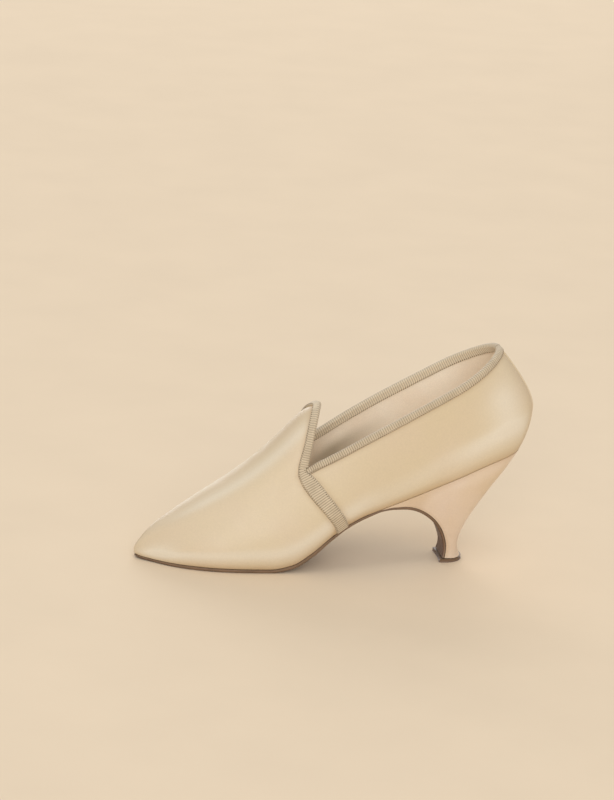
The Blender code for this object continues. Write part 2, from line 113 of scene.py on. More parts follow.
LAST_REACH = 4.0
BOTTOM = Table(
    "x height",
    (0, 2.3),
    (12, 2.0),
    (24, 2.2),
    (34, 2.3),
    (80, 2.3),
    (93, 5.0),
    (104, 12.2),
    (115, 22.0),
    (126, 30.6),
    (136, 36.3),
    (147, 40.8),
    (168, 49.2),
    (190, 58.3),
    (212, 66.8),
    (SEAT_BACK_X, 72.2),
)
WALL_LINES = Table(
    "station feather_half bulge_half bulge_rise",
    (0, 2.6, 3.0, 2.0),
    (9, 8.3, 8.9, 5.0),
    (18, 14.8, 15.7, 6.5),
    (26, 19.4, 20.7, 8.0),
    (35, 22.9, 24.9, 9.5),
    (44, 25.4, 28.0, 10.5),
    (53, 27.1, 30.0, 11.5),
    (64, 28.1, 31.4, 12.5),
    (80, 28.5, 32.4, 13.5),
    (97, 28.3, 32.0, 15.0),
    (115, 27.7, 31.2, 16.0),
    (132, 27.1, 30.3, 16.5),
    (152, 26.4, 29.2, 17.5),
    (173, 25.3, 27.9, 19.0),
    (FAN_X, 24.5, 27.0, 20.5),
    (CENTRE_BACK, 22.5, 25.5, 26.0),
    reach=LAST_REACH,
)
TOPLINE = Table(
    "length half_width height",
    (0, 2.2, 5.0),
    (9, 6.2, 14.0),
    (18, 11.0, 19.6),
    (26, 14.5, 23.4),
    (35, 17.4, 27.0),
    (44, 19.4, 30.8),
    (53, 20.8, 35.0),
    (64, 22.0, 41.0),
    (80, 22.8, 50.8),
    (THROAT_X, 23.2, 63.9),
    (115, 25.6, 74.2),
    (132, 27.4, 84.9),
    (150, 28.2, 95.6),
    (168, 27.7, 106.0),
    (FAN_X, 26.9, 115.8),
    (FAN_X + 30 * FAN_STEP, 25.4, 125.3),
    (FAN_X + 60 * FAN_STEP, 23.8, 133.1),
    (FAN_X + 80 * FAN_STEP, 22.6, 135.7),
    (FAN_X + 90 * FAN_STEP, 22.0, 136.0),
    reach=LAST_REACH,
)
CROWN = Table(
    "x height",
    (0, 5.8),
    (1, 8.4),
    (3, 12.0),
    (6.5, 16.4),
    (13, 22.2),
    (21, 27.8),
    (39.5, 40.9),
    (57, 52.9),
    (69, 62.4),
    (80, 72.8),
    (89, 82.8),
    (95.6, 90.2),
    (101, 95.0),
    (THROAT_X + TONGUE_REACH, 99.0),
    reach=LAST_REACH,
)
print("ball girth half width", float(WALL_LINES.read("bulge_half", 80.0)), "mm")

# %% [markdown]
# ## The wall and the crown of the last
# Two surfaces carry the whole upper. The wall rises from the feather edge, where the upper meets the
# sole, over a bulge to the topline. The crown closes the vamp from there to its ridge. Each rib of the
# wall is two quadratic Bezier curves and each rib of the crown is a cubic one that starts along the
# wall, so the join is smooth. A box that is sculpted by hand could look alike, but every later piece
# needs an exact place on the leather, and a formula gives it for any pair of parameters.

# %% Surfaces of the near half, as functions of two parameters
BULGE_AT = 0.35
LOWER_FULLNESS = 0.48
UPPER_FULLNESS = 0.28
CROWN_LIFT = 0.4
CROWN_WIDTH = 0.68


def stack(x, y, z):
    """Points from three coordinates of any matching shapes."""
    return np.stack(np.broadcast_arrays(x, y, z), axis=-1).astype(float)


def unit(vector):
    """The same directions at length one."""
    return vector / np.linalg.norm(vector, axis=-1, keepdims=True)


def smoothstep(low, high, at):
    """0 below low, 1 above high, and 3 t^2 - 2 t^3 between them."""
    t = np.clip((np.asarray(at, float) - low) / (high - low), 0, 1)
    return t * t * (3 - 2 * t)


def fade(low, high, at):
    """1 below low and 0 above high: the same curve turned round."""
    return 1 - smoothstep(low, high, at)


def between(rise, fall, at):
    """A smooth step up over one pair of places, and down again over another."""
    return smoothstep(*rise, at) * fade(*fall, at)


def bell(distance, width):
    """A bell curve, exp(-(distance / width)^2): 1 at no distance, and falling off on both sides."""
    return np.exp(-((distance / width) ** 2))


def fan_x(station, back_x):
    """Distance from the toe of a station, with a quarter sine round the heel that ends at back_x."""
    turn = np.radians(np.clip(station - FAN_X, 0, 90))
    return np.minimum(station, FAN_X) + (back_x - FAN_X) * np.sin(turn)


def rounded(station, half_width):
    """A half width that closes in a circle at the toe and in a cosine round the heel."""
    nose = np.sqrt(1 - (1 - np.clip(station / NOSE, 0, 1)) ** 2)
    turn = np.radians(np.clip(station - FAN_X, 0, 90))
    return half_width * nose * np.cos(turn)


def feather(station):
    """Edge where the upper meets the sole."""
    tuck = TOE_TUCK * np.clip(1 - station / TUCK_LENGTH, 0, 1) ** 2
    x = fan_x(station, SEAT_BACK_X) + tuck
    y = -rounded(station, WALL_LINES.read("feather_half", station))
    return stack(x, y, BOTTOM.read("height", x))


def bulge(station):
    """Fullest line of the wall."""
    y = -rounded(station, WALL_LINES.read("bulge_half", station))
    z = feather(station)[..., 2] + WALL_LINES.read("bulge_rise", station)
    return stack(fan_x(station, LENGTH), y, z)


def topline(station):
    """Shoulder of the vamp, and past the throat the collar of the quarters.

    Its table goes by length: the station up to FAN_X, and FAN_STEP for each degree after it.
    """
    length = np.minimum(station, FAN_X) + FAN_STEP * np.maximum(station - FAN_X, 0)
    y = -rounded(station, TOPLINE.read("half_width", length))
    return stack(fan_x(station, COLLAR_BACK_X), y, TOPLINE.read("height", length))


def above(point, height):
    """The same point moved to a height."""
    return stack(point[..., 0], point[..., 1], height)


def wall(station, share):
    """Outside of the near wall: two quadratic Bezier curves, feather to bulge and bulge to topline."""
    station, share = np.broadcast_arrays(np.asarray(station, float), np.asarray(share, float))
    low, mid, top = feather(station), bulge(station), topline(station)
    foot = above(mid, low[..., 2] + LOWER_FULLNESS * (mid - low)[..., 2])
    head = above(mid, mid[..., 2] + UPPER_FULLNESS * (top - mid)[..., 2])
    t = np.clip(share / BULGE_AT, 0, 1)[..., None]
    lower = (1 - t) ** 2 * low + 2 * t * (1 - t) * foot + t**2 * mid
    t = np.clip((share - BULGE_AT) / (1 - BULGE_AT), 0, 1)[..., None]
    upper = (1 - t) ** 2 * mid + 2 * t * (1 - t) * head + t**2 * top
    return np.where((share < BULGE_AT)[..., None], lower, upper)


def crown(x, share):
    """Outside of the near half of the vamp: a cubic Bezier curve from the shoulder to the ridge."""
    x, share = np.broadcast_arrays(np.asarray(x, float), np.asarray(share, float))
    mid, top = bulge(x), topline(x)
    head = above(mid, mid[..., 2] + UPPER_FULLNESS * (top - mid)[..., 2])
    ridge = stack(x, np.zeros_like(x), CROWN.read("height", x))
    first = top + unit(top - head) * CROWN_LIFT * (ridge - top)[..., 2:]
    last = stack(x, CROWN_WIDTH * top[..., 1], ridge[..., 2])
    t = share[..., None]
    s = 1 - t
    return s**3 * top + 3 * s**2 * t * first + 3 * s * t**2 * last + t**3 * ridge


def tongue_x(share):
    """How far back the tongue reaches: a slight power curve from the throat up to its peak."""
    return THROAT_X + TONGUE_REACH * np.asarray(share, float) ** TONGUE_POINT


def frame_of(surface, u, v, du, dv):
    """Slopes of a surface by central differences, and its unit normal, outward on the near side."""
    along = (surface(u + du, v) - surface(u - du, v)) / (2 * du)
    up = (surface(u, v + dv) - surface(u, v - dv)) / (2 * dv)
    return along, up, unit(np.cross(along, up))


def run_length(points):
    """Length along a line of points, from its first point to each."""
    return np.concatenate([[0], np.cumsum(np.linalg.norm(np.diff(points, axis=0), axis=1))])


def far_side(points):
    """Mirror image across the middle of the shoe."""
    return points * np.array([1.0, -1.0, 1.0])


print("height of the collar at the back", float(topline(np.array(CENTRE_BACK))[2]), "mm")

# %% [markdown]
# ## Grids become meshes
# Every piece below is one or more grids of points. This cell numbers their quads, gathers grids into
# one mesh, welds what meets, and hands the object to its body in the frame. Python loops over vertices
# would be slow and hard to read, so the numbering is done on whole arrays.

# %% A skin gathers grids into one piece
WELD = 2e-6


def grid_faces(rows, columns, closed):
    """Four corners of each quad, for points that are numbered row by row."""
    across = np.arange(columns if closed else columns - 1)
    i, j = np.meshgrid(np.arange(rows - 1), across, indexing="ij")
    k = (j + 1) % columns
    corners = [i * columns + j, (i + 1) * columns + j, (i + 1) * columns + k, i * columns + k]
    return np.stack(corners, axis=-1).reshape(-1, 4)


class Skin:
    """Grids of points with named values, gathered into one mesh."""

    def __init__(self):
        self.points = np.zeros((0, 3))
        self.faces = np.zeros((0, 4), int)
        self.values = {}

    def add(self, grid, closed=False, turn=False, **values):
        """One grid; closed joins its last column to its first, and turn makes it face the other way."""
        rows, columns = grid.shape[:2]
        before = len(self.points)
        faces = grid_faces(rows, columns, closed) + before
        self.faces = np.concatenate([self.faces, faces[:, ::-1] if turn else faces])
        self.points = np.concatenate([self.points, grid.reshape(-1, 3)])
        for name in {**self.values, **values}:
            old = self.values.get(name, np.zeros(before))
            new = np.broadcast_to(values.get(name, 0.0), (rows, columns)).ravel()
            self.values[name] = np.concatenate([old, new])
        return self

    def add_both(self, grid, **values):
        """A grid of the near half and its mirror image."""
        self.add(grid, **values)
        return self.add(far_side(grid), turn=True, **values)

    def add_slab(self, top, under, **values):
        """A closed sheet between two grids of the same shape: a ring round them, and both ends."""
        self.add(np.concatenate([top, under[:, ::-1]], axis=1), closed=True, **{
            name: np.concatenate([value, value[:, ::-1]], axis=1) for name, value in values.items()
        })
        for end in (0, -1):
            self.add(np.stack([top[end], under[end]]))
        return self

    def piece(self, name, finish, slot, *nodes, outward=True, sharp=None):
        """The object: metres in the shoe's own frame, welded, smooth, and riding on the shoe."""
        mesh = bpy.data.meshes.new(name)
        places = (self.points - (ORIGIN_X, 0, 0)) * MM
        mesh.from_pydata(places.tolist(), [], self.faces.tolist())
        for value_name, value in self.values.items():
            layer = mesh.attributes.new(value_name, "FLOAT", "POINT")
            layer.data.foreach_set("value", value.astype(np.float32))
        bm = bmesh.new()
        bm.from_mesh(mesh)
        bmesh.ops.remove_doubles(bm, verts=bm.verts, dist=WELD)
        bmesh.ops.dissolve_degenerate(bm, edges=bm.edges, dist=WELD)
        if outward:
            bmesh.ops.recalc_face_normals(bm, faces=bm.faces)
        bm.to_mesh(mesh)
        bm.free()
        mesh.shade_smooth()
        if sharp:
            mesh.set_sharp_from_angle(angle=np.radians(sharp))
        mesh.materials.append(finish)
        made = bpy.data.objects.new(name, mesh)
        bpy.context.scene.collection.objects.link(made)
        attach(made, "root")
        if nodes:
            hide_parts(*nodes)
        print(name, len(mesh.vertices), "points", len(mesh.polygons), "faces")
        return made


def push_along_normals(piece, value_name=None, size=1.0):
    """Moves each point along its own normal by size millimetres, times a named value if given."""
    mesh = piece.data
    count = len(mesh.vertices)
    places, normals, value = np.zeros(count * 3), np.zeros(count * 3), np.ones(count)
    mesh.vertices.foreach_get("co", places)
    mesh.vertex_normals.foreach_get("vector", normals)
    if value_name:
        mesh.attributes[value_name].data.foreach_get("value", value)
    moved = places.reshape(-1, 3) + normals.reshape(-1, 3) * (value * size * MM)[:, None]
    mesh.vertices.foreach_set("co", moved.ravel())
    mesh.update()


def thicken(piece, thickness):
    """A wall of even thickness on the inner side of a surface."""
    wall_of = piece.modifiers.new("wall", "SOLIDIFY")
    wall_of.thickness = thickness * MM
    wall_of.offset = -1


print("points closer than", WELD / MM, "mm are welded")

# %% [markdown]
# ## Words for finishes
# A finish is a small tree of nodes that ends in Blender's Principled shader. These helpers add a node
# with its sockets filled by name, mix two colours, and turn the colours that a painter would name on a
# scale of 255 into the linear values that a renderer adds up. Images are not needed: noise and the
# pieces' own values give the tones, so the finish stays sharp at any distance. Noise seldom leaves the
# range that is named CLOUDY, so its tones are spread over that.

# %% Helpers for node trees
CLOUDY = (0.3, 0.7)


def shade(red, green, blue):
    """A colour of 0 to 255 as linear light: the usual power curve of 2.4 with its straight foot."""
    share = np.array([red, green, blue]) / 255
    light = np.where(share <= 0.04045, share / 12.92, ((share + 0.055) / 1.055) ** 2.4)
    return (*light.tolist(), 1.0)


def new_finish(name, **sockets):
    """A material, with constants on the shader's own sockets; _ stands for a space in their names."""
    made = bpy.data.materials.new(name)
    made.use_nodes = True
    shader = made.node_tree.nodes["Principled BSDF"]
    for socket, value in sockets.items():
        shader.inputs[socket.replace("_", " ")].default_value = value
    return made, made.node_tree, shader


def feed(tree, shader, **sockets):
    """Links from other nodes' outputs to the shader's sockets."""
    for socket, output in sockets.items():
        tree.links.new(output, shader.inputs[socket.replace("_", " ")])


def node(tree, kind, sockets, output=0, **settings):
    """One node's output; each socket takes a number, a colour or another node's output."""
    made = tree.nodes.new("ShaderNode" + kind)
    for name, value in settings.items():
        setattr(made, name, value)
    for name, value in sockets.items():
        if isinstance(value, bpy.types.NodeSocket):
            tree.links.new(value, made.inputs[name])
        else:
            made.inputs[name].default_value = value
    return made.outputs[output]


def reckon(tree, operation, *values):
    """One step of arithmetic on values, such as ADD or SINE."""
    return node(tree, "Math", dict(enumerate(values)), operation=operation)


def mixed(tree, share, first, second, blend="MIX"):
    """A colour that goes from first to second as share goes from 0 to 1."""
    sockets = {0: share, 6: first, 7: second}
    return node(tree, "Mix", sockets, output=2, data_type="RGBA", blend_type=blend)


def own_place(tree, stretch=(1.0, 1.0, 1.0)):
    """Places on the piece in metres, with each direction stretched."""
    coordinates = node(tree, "TexCoord", {}, output="Object")
    return node(tree, "Mapping", {"Vector": coordinates, "Scale": stretch})


def noise(tree, scale, detail, stretch=(1.0, 1.0, 1.0)):
    """Cloudy values of 0 to 1, with scale clouds to the metre."""
    place = own_place(tree, stretch)
    return node(tree, "TexNoise", {"Vector": place, "Scale": scale, "Detail": detail})


def ramp(tree, value, low, high, to_low=0.0, to_high=1.0):
    """A value stretched from low..high to to_low..to_high, and held at the ends."""
    spread = {"Value": value, "From Min": low, "From Max": high, "To Min": to_low, "To Max": to_high}
    return node(tree, "MapRange", spread)


def toned(tree, colour, value, darkest, lightest, spread=CLOUDY):
    """A colour times a cloudy value, which is stretched from its spread to darkest..lightest."""
    return mixed(tree, 1.0, colour, ramp(tree, value, *spread, darkest, lightest), "MULTIPLY")


def value_of(tree, name):
    """A named value that the piece carries at its points."""
    return node(tree, "Attribute", {}, output="Fac", attribute_name=name)


def bumped(tree, shader, height, depth, strength):
    """Relief of depth millimetres on the shader's normal."""
    relief = {"Height": height, "Distance": depth * MM, "Strength": strength}
    feed(tree, shader, Normal=node(tree, "Bump", relief))


print("middle grey is", round(shade(128, 128, 128)[0], 3), "of white in linear light")

# %% [markdown]
# ## Cream kid
# Kid is thin goatskin with a fine grain and a satin gloss. On this slipper it is cream, a little
# yellower in some places and pinker in others, with a painted highlight along the bulge of the last
# and a painted shade that makes it tanner along the feather edge and beside the ribbon. The tones come
# from two layers of noise and from two values that the upper carries, and the grain is a bump of small
# cells, because grain of a third of a millimetre would need millions of faces.

# %% The kid finish
KID_YELLOW = shade(217, 199, 167)
KID_PINK = shade(218, 199, 170)
KID_HIGHLIGHT = shade(231, 220, 200)
KID_SHADE = shade(199, 173, 136)


def kid_finish(name, yellow, pink, painted_highlight, tan):
    """Broad clouds of two tones, a painted highlight and a painted shade by the piece's own values, and a
    cell grain.
    """
    made, tree, shader = new_finish(name, Coat_Weight=0.1, Coat_Roughness=0.3)
    clouds = ramp(tree, noise(tree, scale=26.0, detail=2.0), low=0.35, high=0.65)
    colour = mixed(tree, clouds, yellow, pink)
    # Painted highlight and painted shade come in by the piece's own values.
    colour = mixed(tree, value_of(tree, "painted_highlight"), colour, painted_highlight)
    colour = mixed(tree, value_of(tree, "tan"), colour, tan)
    specks = noise(tree, scale=900.0, detail=4.0)
    colour = toned(tree, colour, specks, 0.965, 1.02, spread=(0.3, 0.75))
    gloss = ramp(tree, noise(tree, scale=120.0, detail=4.0), *CLOUDY, to_low=0.4, to_high=0.52)
    feed(tree, shader, Base_Color=colour, Roughness=gloss)
    cells = node(tree, "TexVoronoi", {"Vector": own_place(tree), "Scale": 1900.0})
    grain = reckon(tree, "ADD", cells, noise(tree, scale=700.0, detail=4.0))
    bumped(tree, shader, grain, depth=0.05, strength=0.55)
    return made


cream_kid = kid_finish("cream_kid_grain", KID_YELLOW, KID_PINK, KID_HIGHLIGHT, KID_SHADE)
print("finish", cream_kid.name)

# %% [markdown]
# ## The upper, outside
# Vamp, tongue and quarters are one shell that is drawn over the last and turned in under the insole.
# The wall and crown functions give its outside on a grid of about a millimetre, the margin that is
# turned in follows as a few more columns, and the other half is a mirror image. The stitches draw the
# ribbon down, so the kid dips softly beside it: a bell curve of the distance to the ribbon. The two
# values for the finish, a painted highlight on the bulge and a painted shade at the edges, are worked
# out in the same place.

# %% Stations, margin and the dip beside the ribbon
WALL_THICKNESS = 1.6
KID_THICKNESS = 0.6
RIBBON_HALF = 3.5
MARGIN = 6.0
MARGIN_ROLL = 0.22
MARGIN_BEND = 0.2
MARGIN_ENDS = (14.0, 214.0)
LEAST_WAY = 1e-6
DIP = 0.28
DIP_WIDTH = 2.4
BAND_SLANT = 0.8
NOSE_STEPS = 13
VAMP_STEPS = 90
QUARTER_STEPS = 74
BACK_STEPS = 61
WALL_STEPS = 47
CROWN_STEPS = 41
SIDE_BAND = Table(
    "run rear_x rear_height front_x front_height",
    (0, 125.8, 30.4, 119.0, 25.2),
    (1, 122.9, 36.4, 116.2, 30.9),
    (2, 118.0, 43.3, 111.0, 37.7),
    (3, 112.2, 50.2, 104.8, 44.3),
    (4, 107.2, 56.2, 99.1, 50.8),
    (5, 102.8, 60.6, 95.4, 56.2),
    (6, THROAT_X + 0.4, 63.6, 93.7, 60.4),
)


def even_steps(*parts):
    """Even steps through parts that share their ends; a part is its start, its end and its points."""
    lines = [np.linspace(*part) for part in parts]
    return np.concatenate([line[:-1] for line in lines[:-1]] + lines[-1:])


def turned_in(station, reach):
    """Margin under the insole: it rolls down by a quadratic curve, then runs level to the middle."""
    edge = feather(station)
    middle = stack(np.clip(edge[..., 0], *MARGIN_ENDS), 0.0, edge[..., 2])
    way = middle - edge
    way = way / np.maximum(np.linalg.norm(way, axis=-1, keepdims=True), LEAST_WAY)
    point = edge + way * (MARGIN * reach)[..., None]
    floor = BOTTOM.read("height", point[..., 0])
    return above(point, floor - MARGIN_ROLL * (1 - (1 - np.clip(reach / MARGIN_BEND, 0, 1)) ** 2))


def beside_ribbon(points, station):
    """Distance in millimetres from the nearest ribbon on the near wall, and 0 under it.

    The side band climbs aslant, so a level distance from it counts only in part.
    """
    x, z = points[..., 0], points[..., 2]
    rear_x, rear_height, front_x, front_height = SIDE_BAND.rows.T[1:]
    front, rear = np.interp(z, front_height, front_x), np.interp(z, rear_height, rear_x)
    to_band = np.maximum(front - x, x - rear) * BAND_SLANT
    to_collar = np.linalg.norm(points - topline(station), axis=-1) - RIBBON_HALF
    nearest = np.where(station > THROAT_X, np.minimum(to_band, to_collar), to_band)
    return np.maximum(nearest, 0)


nose_stations = NOSE * (1 - np.cos(np.linspace(0, np.pi / 2, NOSE_STEPS)))
vamp_stations = np.concatenate([nose_stations[:-1], np.linspace(NOSE, THROAT_X, VAMP_STEPS)])
quarter_stations = even_steps((THROAT_X, FAN_X, QUARTER_STEPS), (FAN_X, CENTRE_BACK, BACK_STEPS))
all_stations = np.concatenate([vamp_stations, quarter_stations[1:]])
wall_shares = np.linspace(0, 1, WALL_STEPS)
crown_shares = np.linspace(0, 1, CROWN_STEPS)
print(len(all_stations), "stations of", len(wall_shares), "points on each wall")

# %% [markdown]
# The upper's grids meet at the shoulder and along the ridge, where welding joins them. The drawn-in
# margin has the feather edge in common with the wall. A painted shade rises at the feather edge and
# beside the ribbon. A painted highlight follows the bulge from the toe to the counter and then climbs
# the back of the quarters. Each pair of numbers says where a tone begins and where it is full, in
# stations along the shoe or in shares of a rib, and a second pair says where it fades again.

# %% Where the wall gets a painted highlight and a painted shade
BULGE_PALE = 0.85
BULGE_SHARE = 0.27
BULGE_SPREAD = 0.13
BULGE_START = (0, 12)
WAIST_DROP = 0.08
WAIST_DROP_AT = ((95, 130), (150, 190))
WAIST_LOSS = 0.55
WAIST_LOSS_AT = ((125, 150), (180, 205))
TOE_PALE = 0.8
TOE_SPOT = (13, 0.4)
TOE_SPREAD = (10, 0.3)
BACK_PALE = 0.75
BACK_STATION = FAN_X + 42
BACK_SPREAD = 16
BACK_SHARES = ((0.2, 0.4), (0.7, 0.95))
BACK_TAN = 0.5
BACK_TAN_AT = (FAN_X + 58, FAN_X + 84)
FEATHER_TAN = 0.2
FEATHER_TAN_MORE = 0.4
FEATHER_TAN_AT = (4, 40)
FEATHER_SHARES = (0.0, 0.13)
WAIST_TAN = 0.5
WAIST_TAN_AT = ((105, 125), (175, 195))
RIBBON_TAN = 0.35
RIBBON_NEAR = 2.0
u, v = np.meshgrid(all_stations, wall_shares, indexing="ij")
side = wall(u, v)
ribbon_near = beside_ribbon(side, u)
bulge_share = BULGE_SHARE - WAIST_DROP * between(*WAIST_DROP_AT, u)
bulge_band = bell(v - bulge_share, BULGE_SPREAD) * smoothstep(*BULGE_START, u)
bulge_band = bulge_band * (1 - WAIST_LOSS * between(*WAIST_LOSS_AT, u))
toe_spot = bell(u - TOE_SPOT[0], TOE_SPREAD[0]) * bell(v - TOE_SPOT[1], TOE_SPREAD[1])
back_band = bell(u - BACK_STATION, BACK_SPREAD) * between(*BACK_SHARES, v)
back_shade = smoothstep(*BACK_TAN_AT, u)
low_shade = FEATHER_TAN + FEATHER_TAN_MORE * smoothstep(*FEATHER_TAN_AT, u)
low_shade = fade(*FEATHER_SHARES, v) * low_shade * (1 + WAIST_TAN * between(*WAIST_TAN_AT, u))
# A painted highlight along the bulge, at the toe and up the back of the quarters; a painted shade at the
# feather edge, beside the ribbon and towards the centre back.
side_highlight = BULGE_PALE * bulge_band + BACK_PALE * back_band + TOE_PALE * toe_spot
side_shade = low_shade + RIBBON_TAN * bell(ribbon_near, RIBBON_NEAR) + BACK_TAN * back_shade
side_values = {
    "painted_highlight": np.clip(side_highlight * (1 - back_shade), 0, 1),
    "tan": np.clip(side_shade, 0, 1),
    "dip": bell(ribbon_near, DIP_WIDTH),
}
print("pale up to", round(float(side_values["painted_highlight"].max()), 2), "on the wall")

# %% [markdown]
# On the crown a painted highlight runs along each side of the ridge, and a painted shade lies on the
# ridge itself and on the kid next to the tongue's ribbon. The three grids of each half are then
# gathered, welded and given their wall.

# %% The upper of kid
STRIPE_PALE = 0.6
STRIPE_SHARE = 0.64
STRIPE_SPREAD = 0.13
STRIPE_START = (12, 40)
RIDGE_TAN = 0.5
RIDGE_SHARES = (0.78, 1.0)
TONGUE_TAN = 0.5
TONGUE_NEAR = 2.4
MARGIN_TAN = 0.7
MARGIN_STEPS = 9
margin = turned_in(*np.meshgrid(all_stations, np.linspace(1, 0, MARGIN_STEPS), indexing="ij"))
cu, cv = np.meshgrid(vamp_stations, crown_shares, indexing="ij")
crown_x = cu * tongue_x(cv) / THROAT_X
top = crown(crown_x, cv)
tongue_near = np.maximum(tongue_x(cv) - crown_x - RIBBON_HALF, 0)
# A painted highlight beside the ridge, and a painted shade on the ridge and beside the tongue's ribbon.
stripe = bell(cv - STRIPE_SHARE, STRIPE_SPREAD) * smoothstep(*STRIPE_START, cu)
crown_shade = TONGUE_TAN * bell(tongue_near, TONGUE_NEAR) + RIDGE_TAN * smoothstep(*RIDGE_SHARES, cv)
crown_values = {
    "painted_highlight": STRIPE_PALE * stripe,
    "tan": np.clip(crown_shade, 0, 1),
    "dip": bell(tongue_near, DIP_WIDTH),
}
# The turned-in margin takes a painted shade too.
upper = Skin().add_both(side, **side_values).add_both(margin, tan=MARGIN_TAN)
upper = upper.add_both(top, **crown_values)
upper = upper.piece("upper_kid", cream_kid, "cream_kid", "upper", outward=False)
push_along_normals(upper, "dip", -DIP)
thicken(upper, KID_THICKNESS)

# %% [markdown]
# ## The lining
# Inside, the slipper is lined with a thin pinkish skin that is napped rather than glossy. It could be
# the inner side of the same shell with a second material, but a separate layer is how it is made, and
# it keeps the two finishes apart in the exported model. Its grid is the upper's, moved inwards along
# its own normals, with a wall of its own. It is greyer low at the front, a painted shade.

# %% The napped lining finish
LINING_PINK = shade(252, 239, 219)
LINING_TAN = shade(246, 228, 204)
LINING_SHADE_GREY = shade(182, 166, 141)


def lining_finish(name, first, second, worn):
    """Two tones in clouds, greyer by a painted shade that the piece carries, a soft sheen and a fine nap.
    """
    made, tree, shader = new_finish(name, Sheen_Weight=0.2, Sheen_Roughness=0.5)
    clouds = ramp(tree, noise(tree, scale=40.0, detail=4.0), *CLOUDY)
    nap = noise(tree, scale=1500.0, detail=5.0)
    colour = mixed(tree, clouds, first, second)
    colour = mixed(tree, value_of(tree, "worn"), colour, worn)
    gloss = ramp(tree, clouds, 0.0, 1.0, to_low=0.62, to_high=0.72)
    feed(tree, shader, Base_Color=toned(tree, colour, nap, 0.94, 1.03), Roughness=gloss)
    bumped(tree, shader, nap, depth=0.06, strength=0.5)
    return made


lining_skin = lining_finish("lining_nap", LINING_PINK, LINING_TAN, LINING_SHADE_GREY)
print("finish", lining_skin.name)

# %% [markdown]
# The lining takes over the upper's grids, without the margin. Its painted shade is high low in the
# vamp, and fades up the sides and towards the heel.

# %% The lining of the upper
LINING_THICKNESS = 0.6
GREY_SHADE_VAMP = 0.8
GREY_SHADE_LEAST = 0.2
GREY_SHADE_START = (THROAT_X + 4, THROAT_X + 28)
GREY_SHADE_END = (115, 165)
GREY_SHADE_SHARES = (0.68, 0.86)
# A painted shade greys the lining low at the front.
side_worn = GREY_SHADE_LEAST + (1 - GREY_SHADE_LEAST) * smoothstep(*GREY_SHADE_START, u)
side_worn = fade(*GREY_SHADE_SHARES, v) * fade(*GREY_SHADE_END, u) * side_worn
lining = Skin().add_both(side, worn=side_worn).add_both(top, worn=GREY_SHADE_VAMP)
lining = lining.piece("upper_lining", lining_skin, "insole_kid", "upper", outward=False)
push_along_normals(lining, size=LINING_THICKNESS - WALL_THICKNESS)
thicken(lining, LINING_THICKNESS)

# %% [markdown]
# ## The insole
# The insole is the floor that the foot stands on: a skin over a thin board, rounded at its edge. It is
# a rounded section carried along the last's underside. The section narrows to a point at the toe and
# closes in a round at the heel, because its width is read from the feather edge.

# %% A rounded section that any flat piece can use
CORNER_STEPS = 6
LEVEL_STEPS = 16
MOST_ROUND = 0.9
FAN_SIZES = (1.0, 0.7, 0.3, 0.0)


def rounded_section(half, low, high, low_round, high_round):
    """Ring round a flat bar: level runs above and below, and a quarter circle at each corner.

    half, low and high have one value for each row; returns the places across and up, row by row.
    """
    quarter = np.pi / 2
    turn = np.linspace(0, quarter, CORNER_STEPS)
    level = np.linspace(1, -1, LEVEL_STEPS)[1:-1]
    r_low, r_high = (np.minimum(size, half * MOST_ROUND)[:, None] for size in (low_round, high_round))
    half, low, high = half[:, None], low[:, None], high[:, None]

    def arc(hand_side, r, middle_up, start):
        angle = start + turn
        return hand_side * (half - r) + r * np.cos(angle), middle_up + r * np.sin(angle)

    def flat(hand_side, r, height):
        across = hand_side * (half - r) * level
        return across, np.broadcast_to(height, across.shape)

    parts = [
        arc(1, r_low, low + r_low, -quarter),
        arc(1, r_high, high - r_high, 0.0),
        flat(1, r_high, high),
        arc(-1, r_high, high - r_high, quarter),
        arc(-1, r_low, low + r_low, 2 * quarter),
        flat(-1, r_low, low),
    ]
    return [np.concatenate(part, axis=1) for part in zip(*parts)]


def fan_of(ring):
    """Grid that closes a ring: the ring itself, two smaller copies and its middle."""
    middle = ring.mean(axis=0, keepdims=True)
    return np.stack([middle + (ring - middle) * size for size in FAN_SIZES])


print(4 * CORNER_STEPS + 2 * (LEVEL_STEPS - 2), "points round a flat section")

# %% [markdown]
# The floor of the slipper bends with the last, so each section stands upright at its own place along
# the shoe. The middle of the insole is raised a little by a parabola, as a skin over a board is.

# %% The insole of napped skin
INSOLE_INSET = 1.75
INSOLE_LOW = 0.75
INSOLE_HIGH = 1.9
INSOLE_CROWN = 0.4
INSOLE_CROWN_FROM = INSOLE_LOW + 0.6
INSOLE_ROUNDS = (0.3, 0.6)
INSOLE_LEAST = 0.5
INSOLE_FIRST = 4
INSOLE_END = CENTRE_BACK - 3
INSOLE_STEPS = (150, 50)
insole_parts = (NOSE, FAN_X, INSOLE_STEPS[0]), (FAN_X, INSOLE_END, INSOLE_STEPS[1])
insole_stations = np.concatenate([nose_stations[INSOLE_FIRST:-1], even_steps(*insole_parts)])
edge = feather(insole_stations)
insole_x = INSOLE_INSET + edge[:, 0] * (SEAT_BACK_X - 2 * INSOLE_INSET) / SEAT_BACK_X
insole_half = np.maximum(-edge[:, 1] - INSOLE_INSET, INSOLE_LEAST)
ones = np.ones_like(insole_x)
across, up = rounded_section(insole_half, INSOLE_LOW * ones, INSOLE_HIGH * ones, *INSOLE_ROUNDS)
parabola = 1 - (across / insole_half[:, None]) ** 2
up = up + (up > INSOLE_CROWN_FROM) * INSOLE_CROWN * parabola
insole_rings = stack(insole_x[:, None], across, BOTTOM.read("height", insole_x)[:, None] + up)
insole = Skin().add(insole_rings, closed=True)
for end in (0, -1):
    insole.add(fan_of(insole_rings[end]), closed=True)
insole.piece("insole_skin", lining_skin, "insole_kid", "insole")

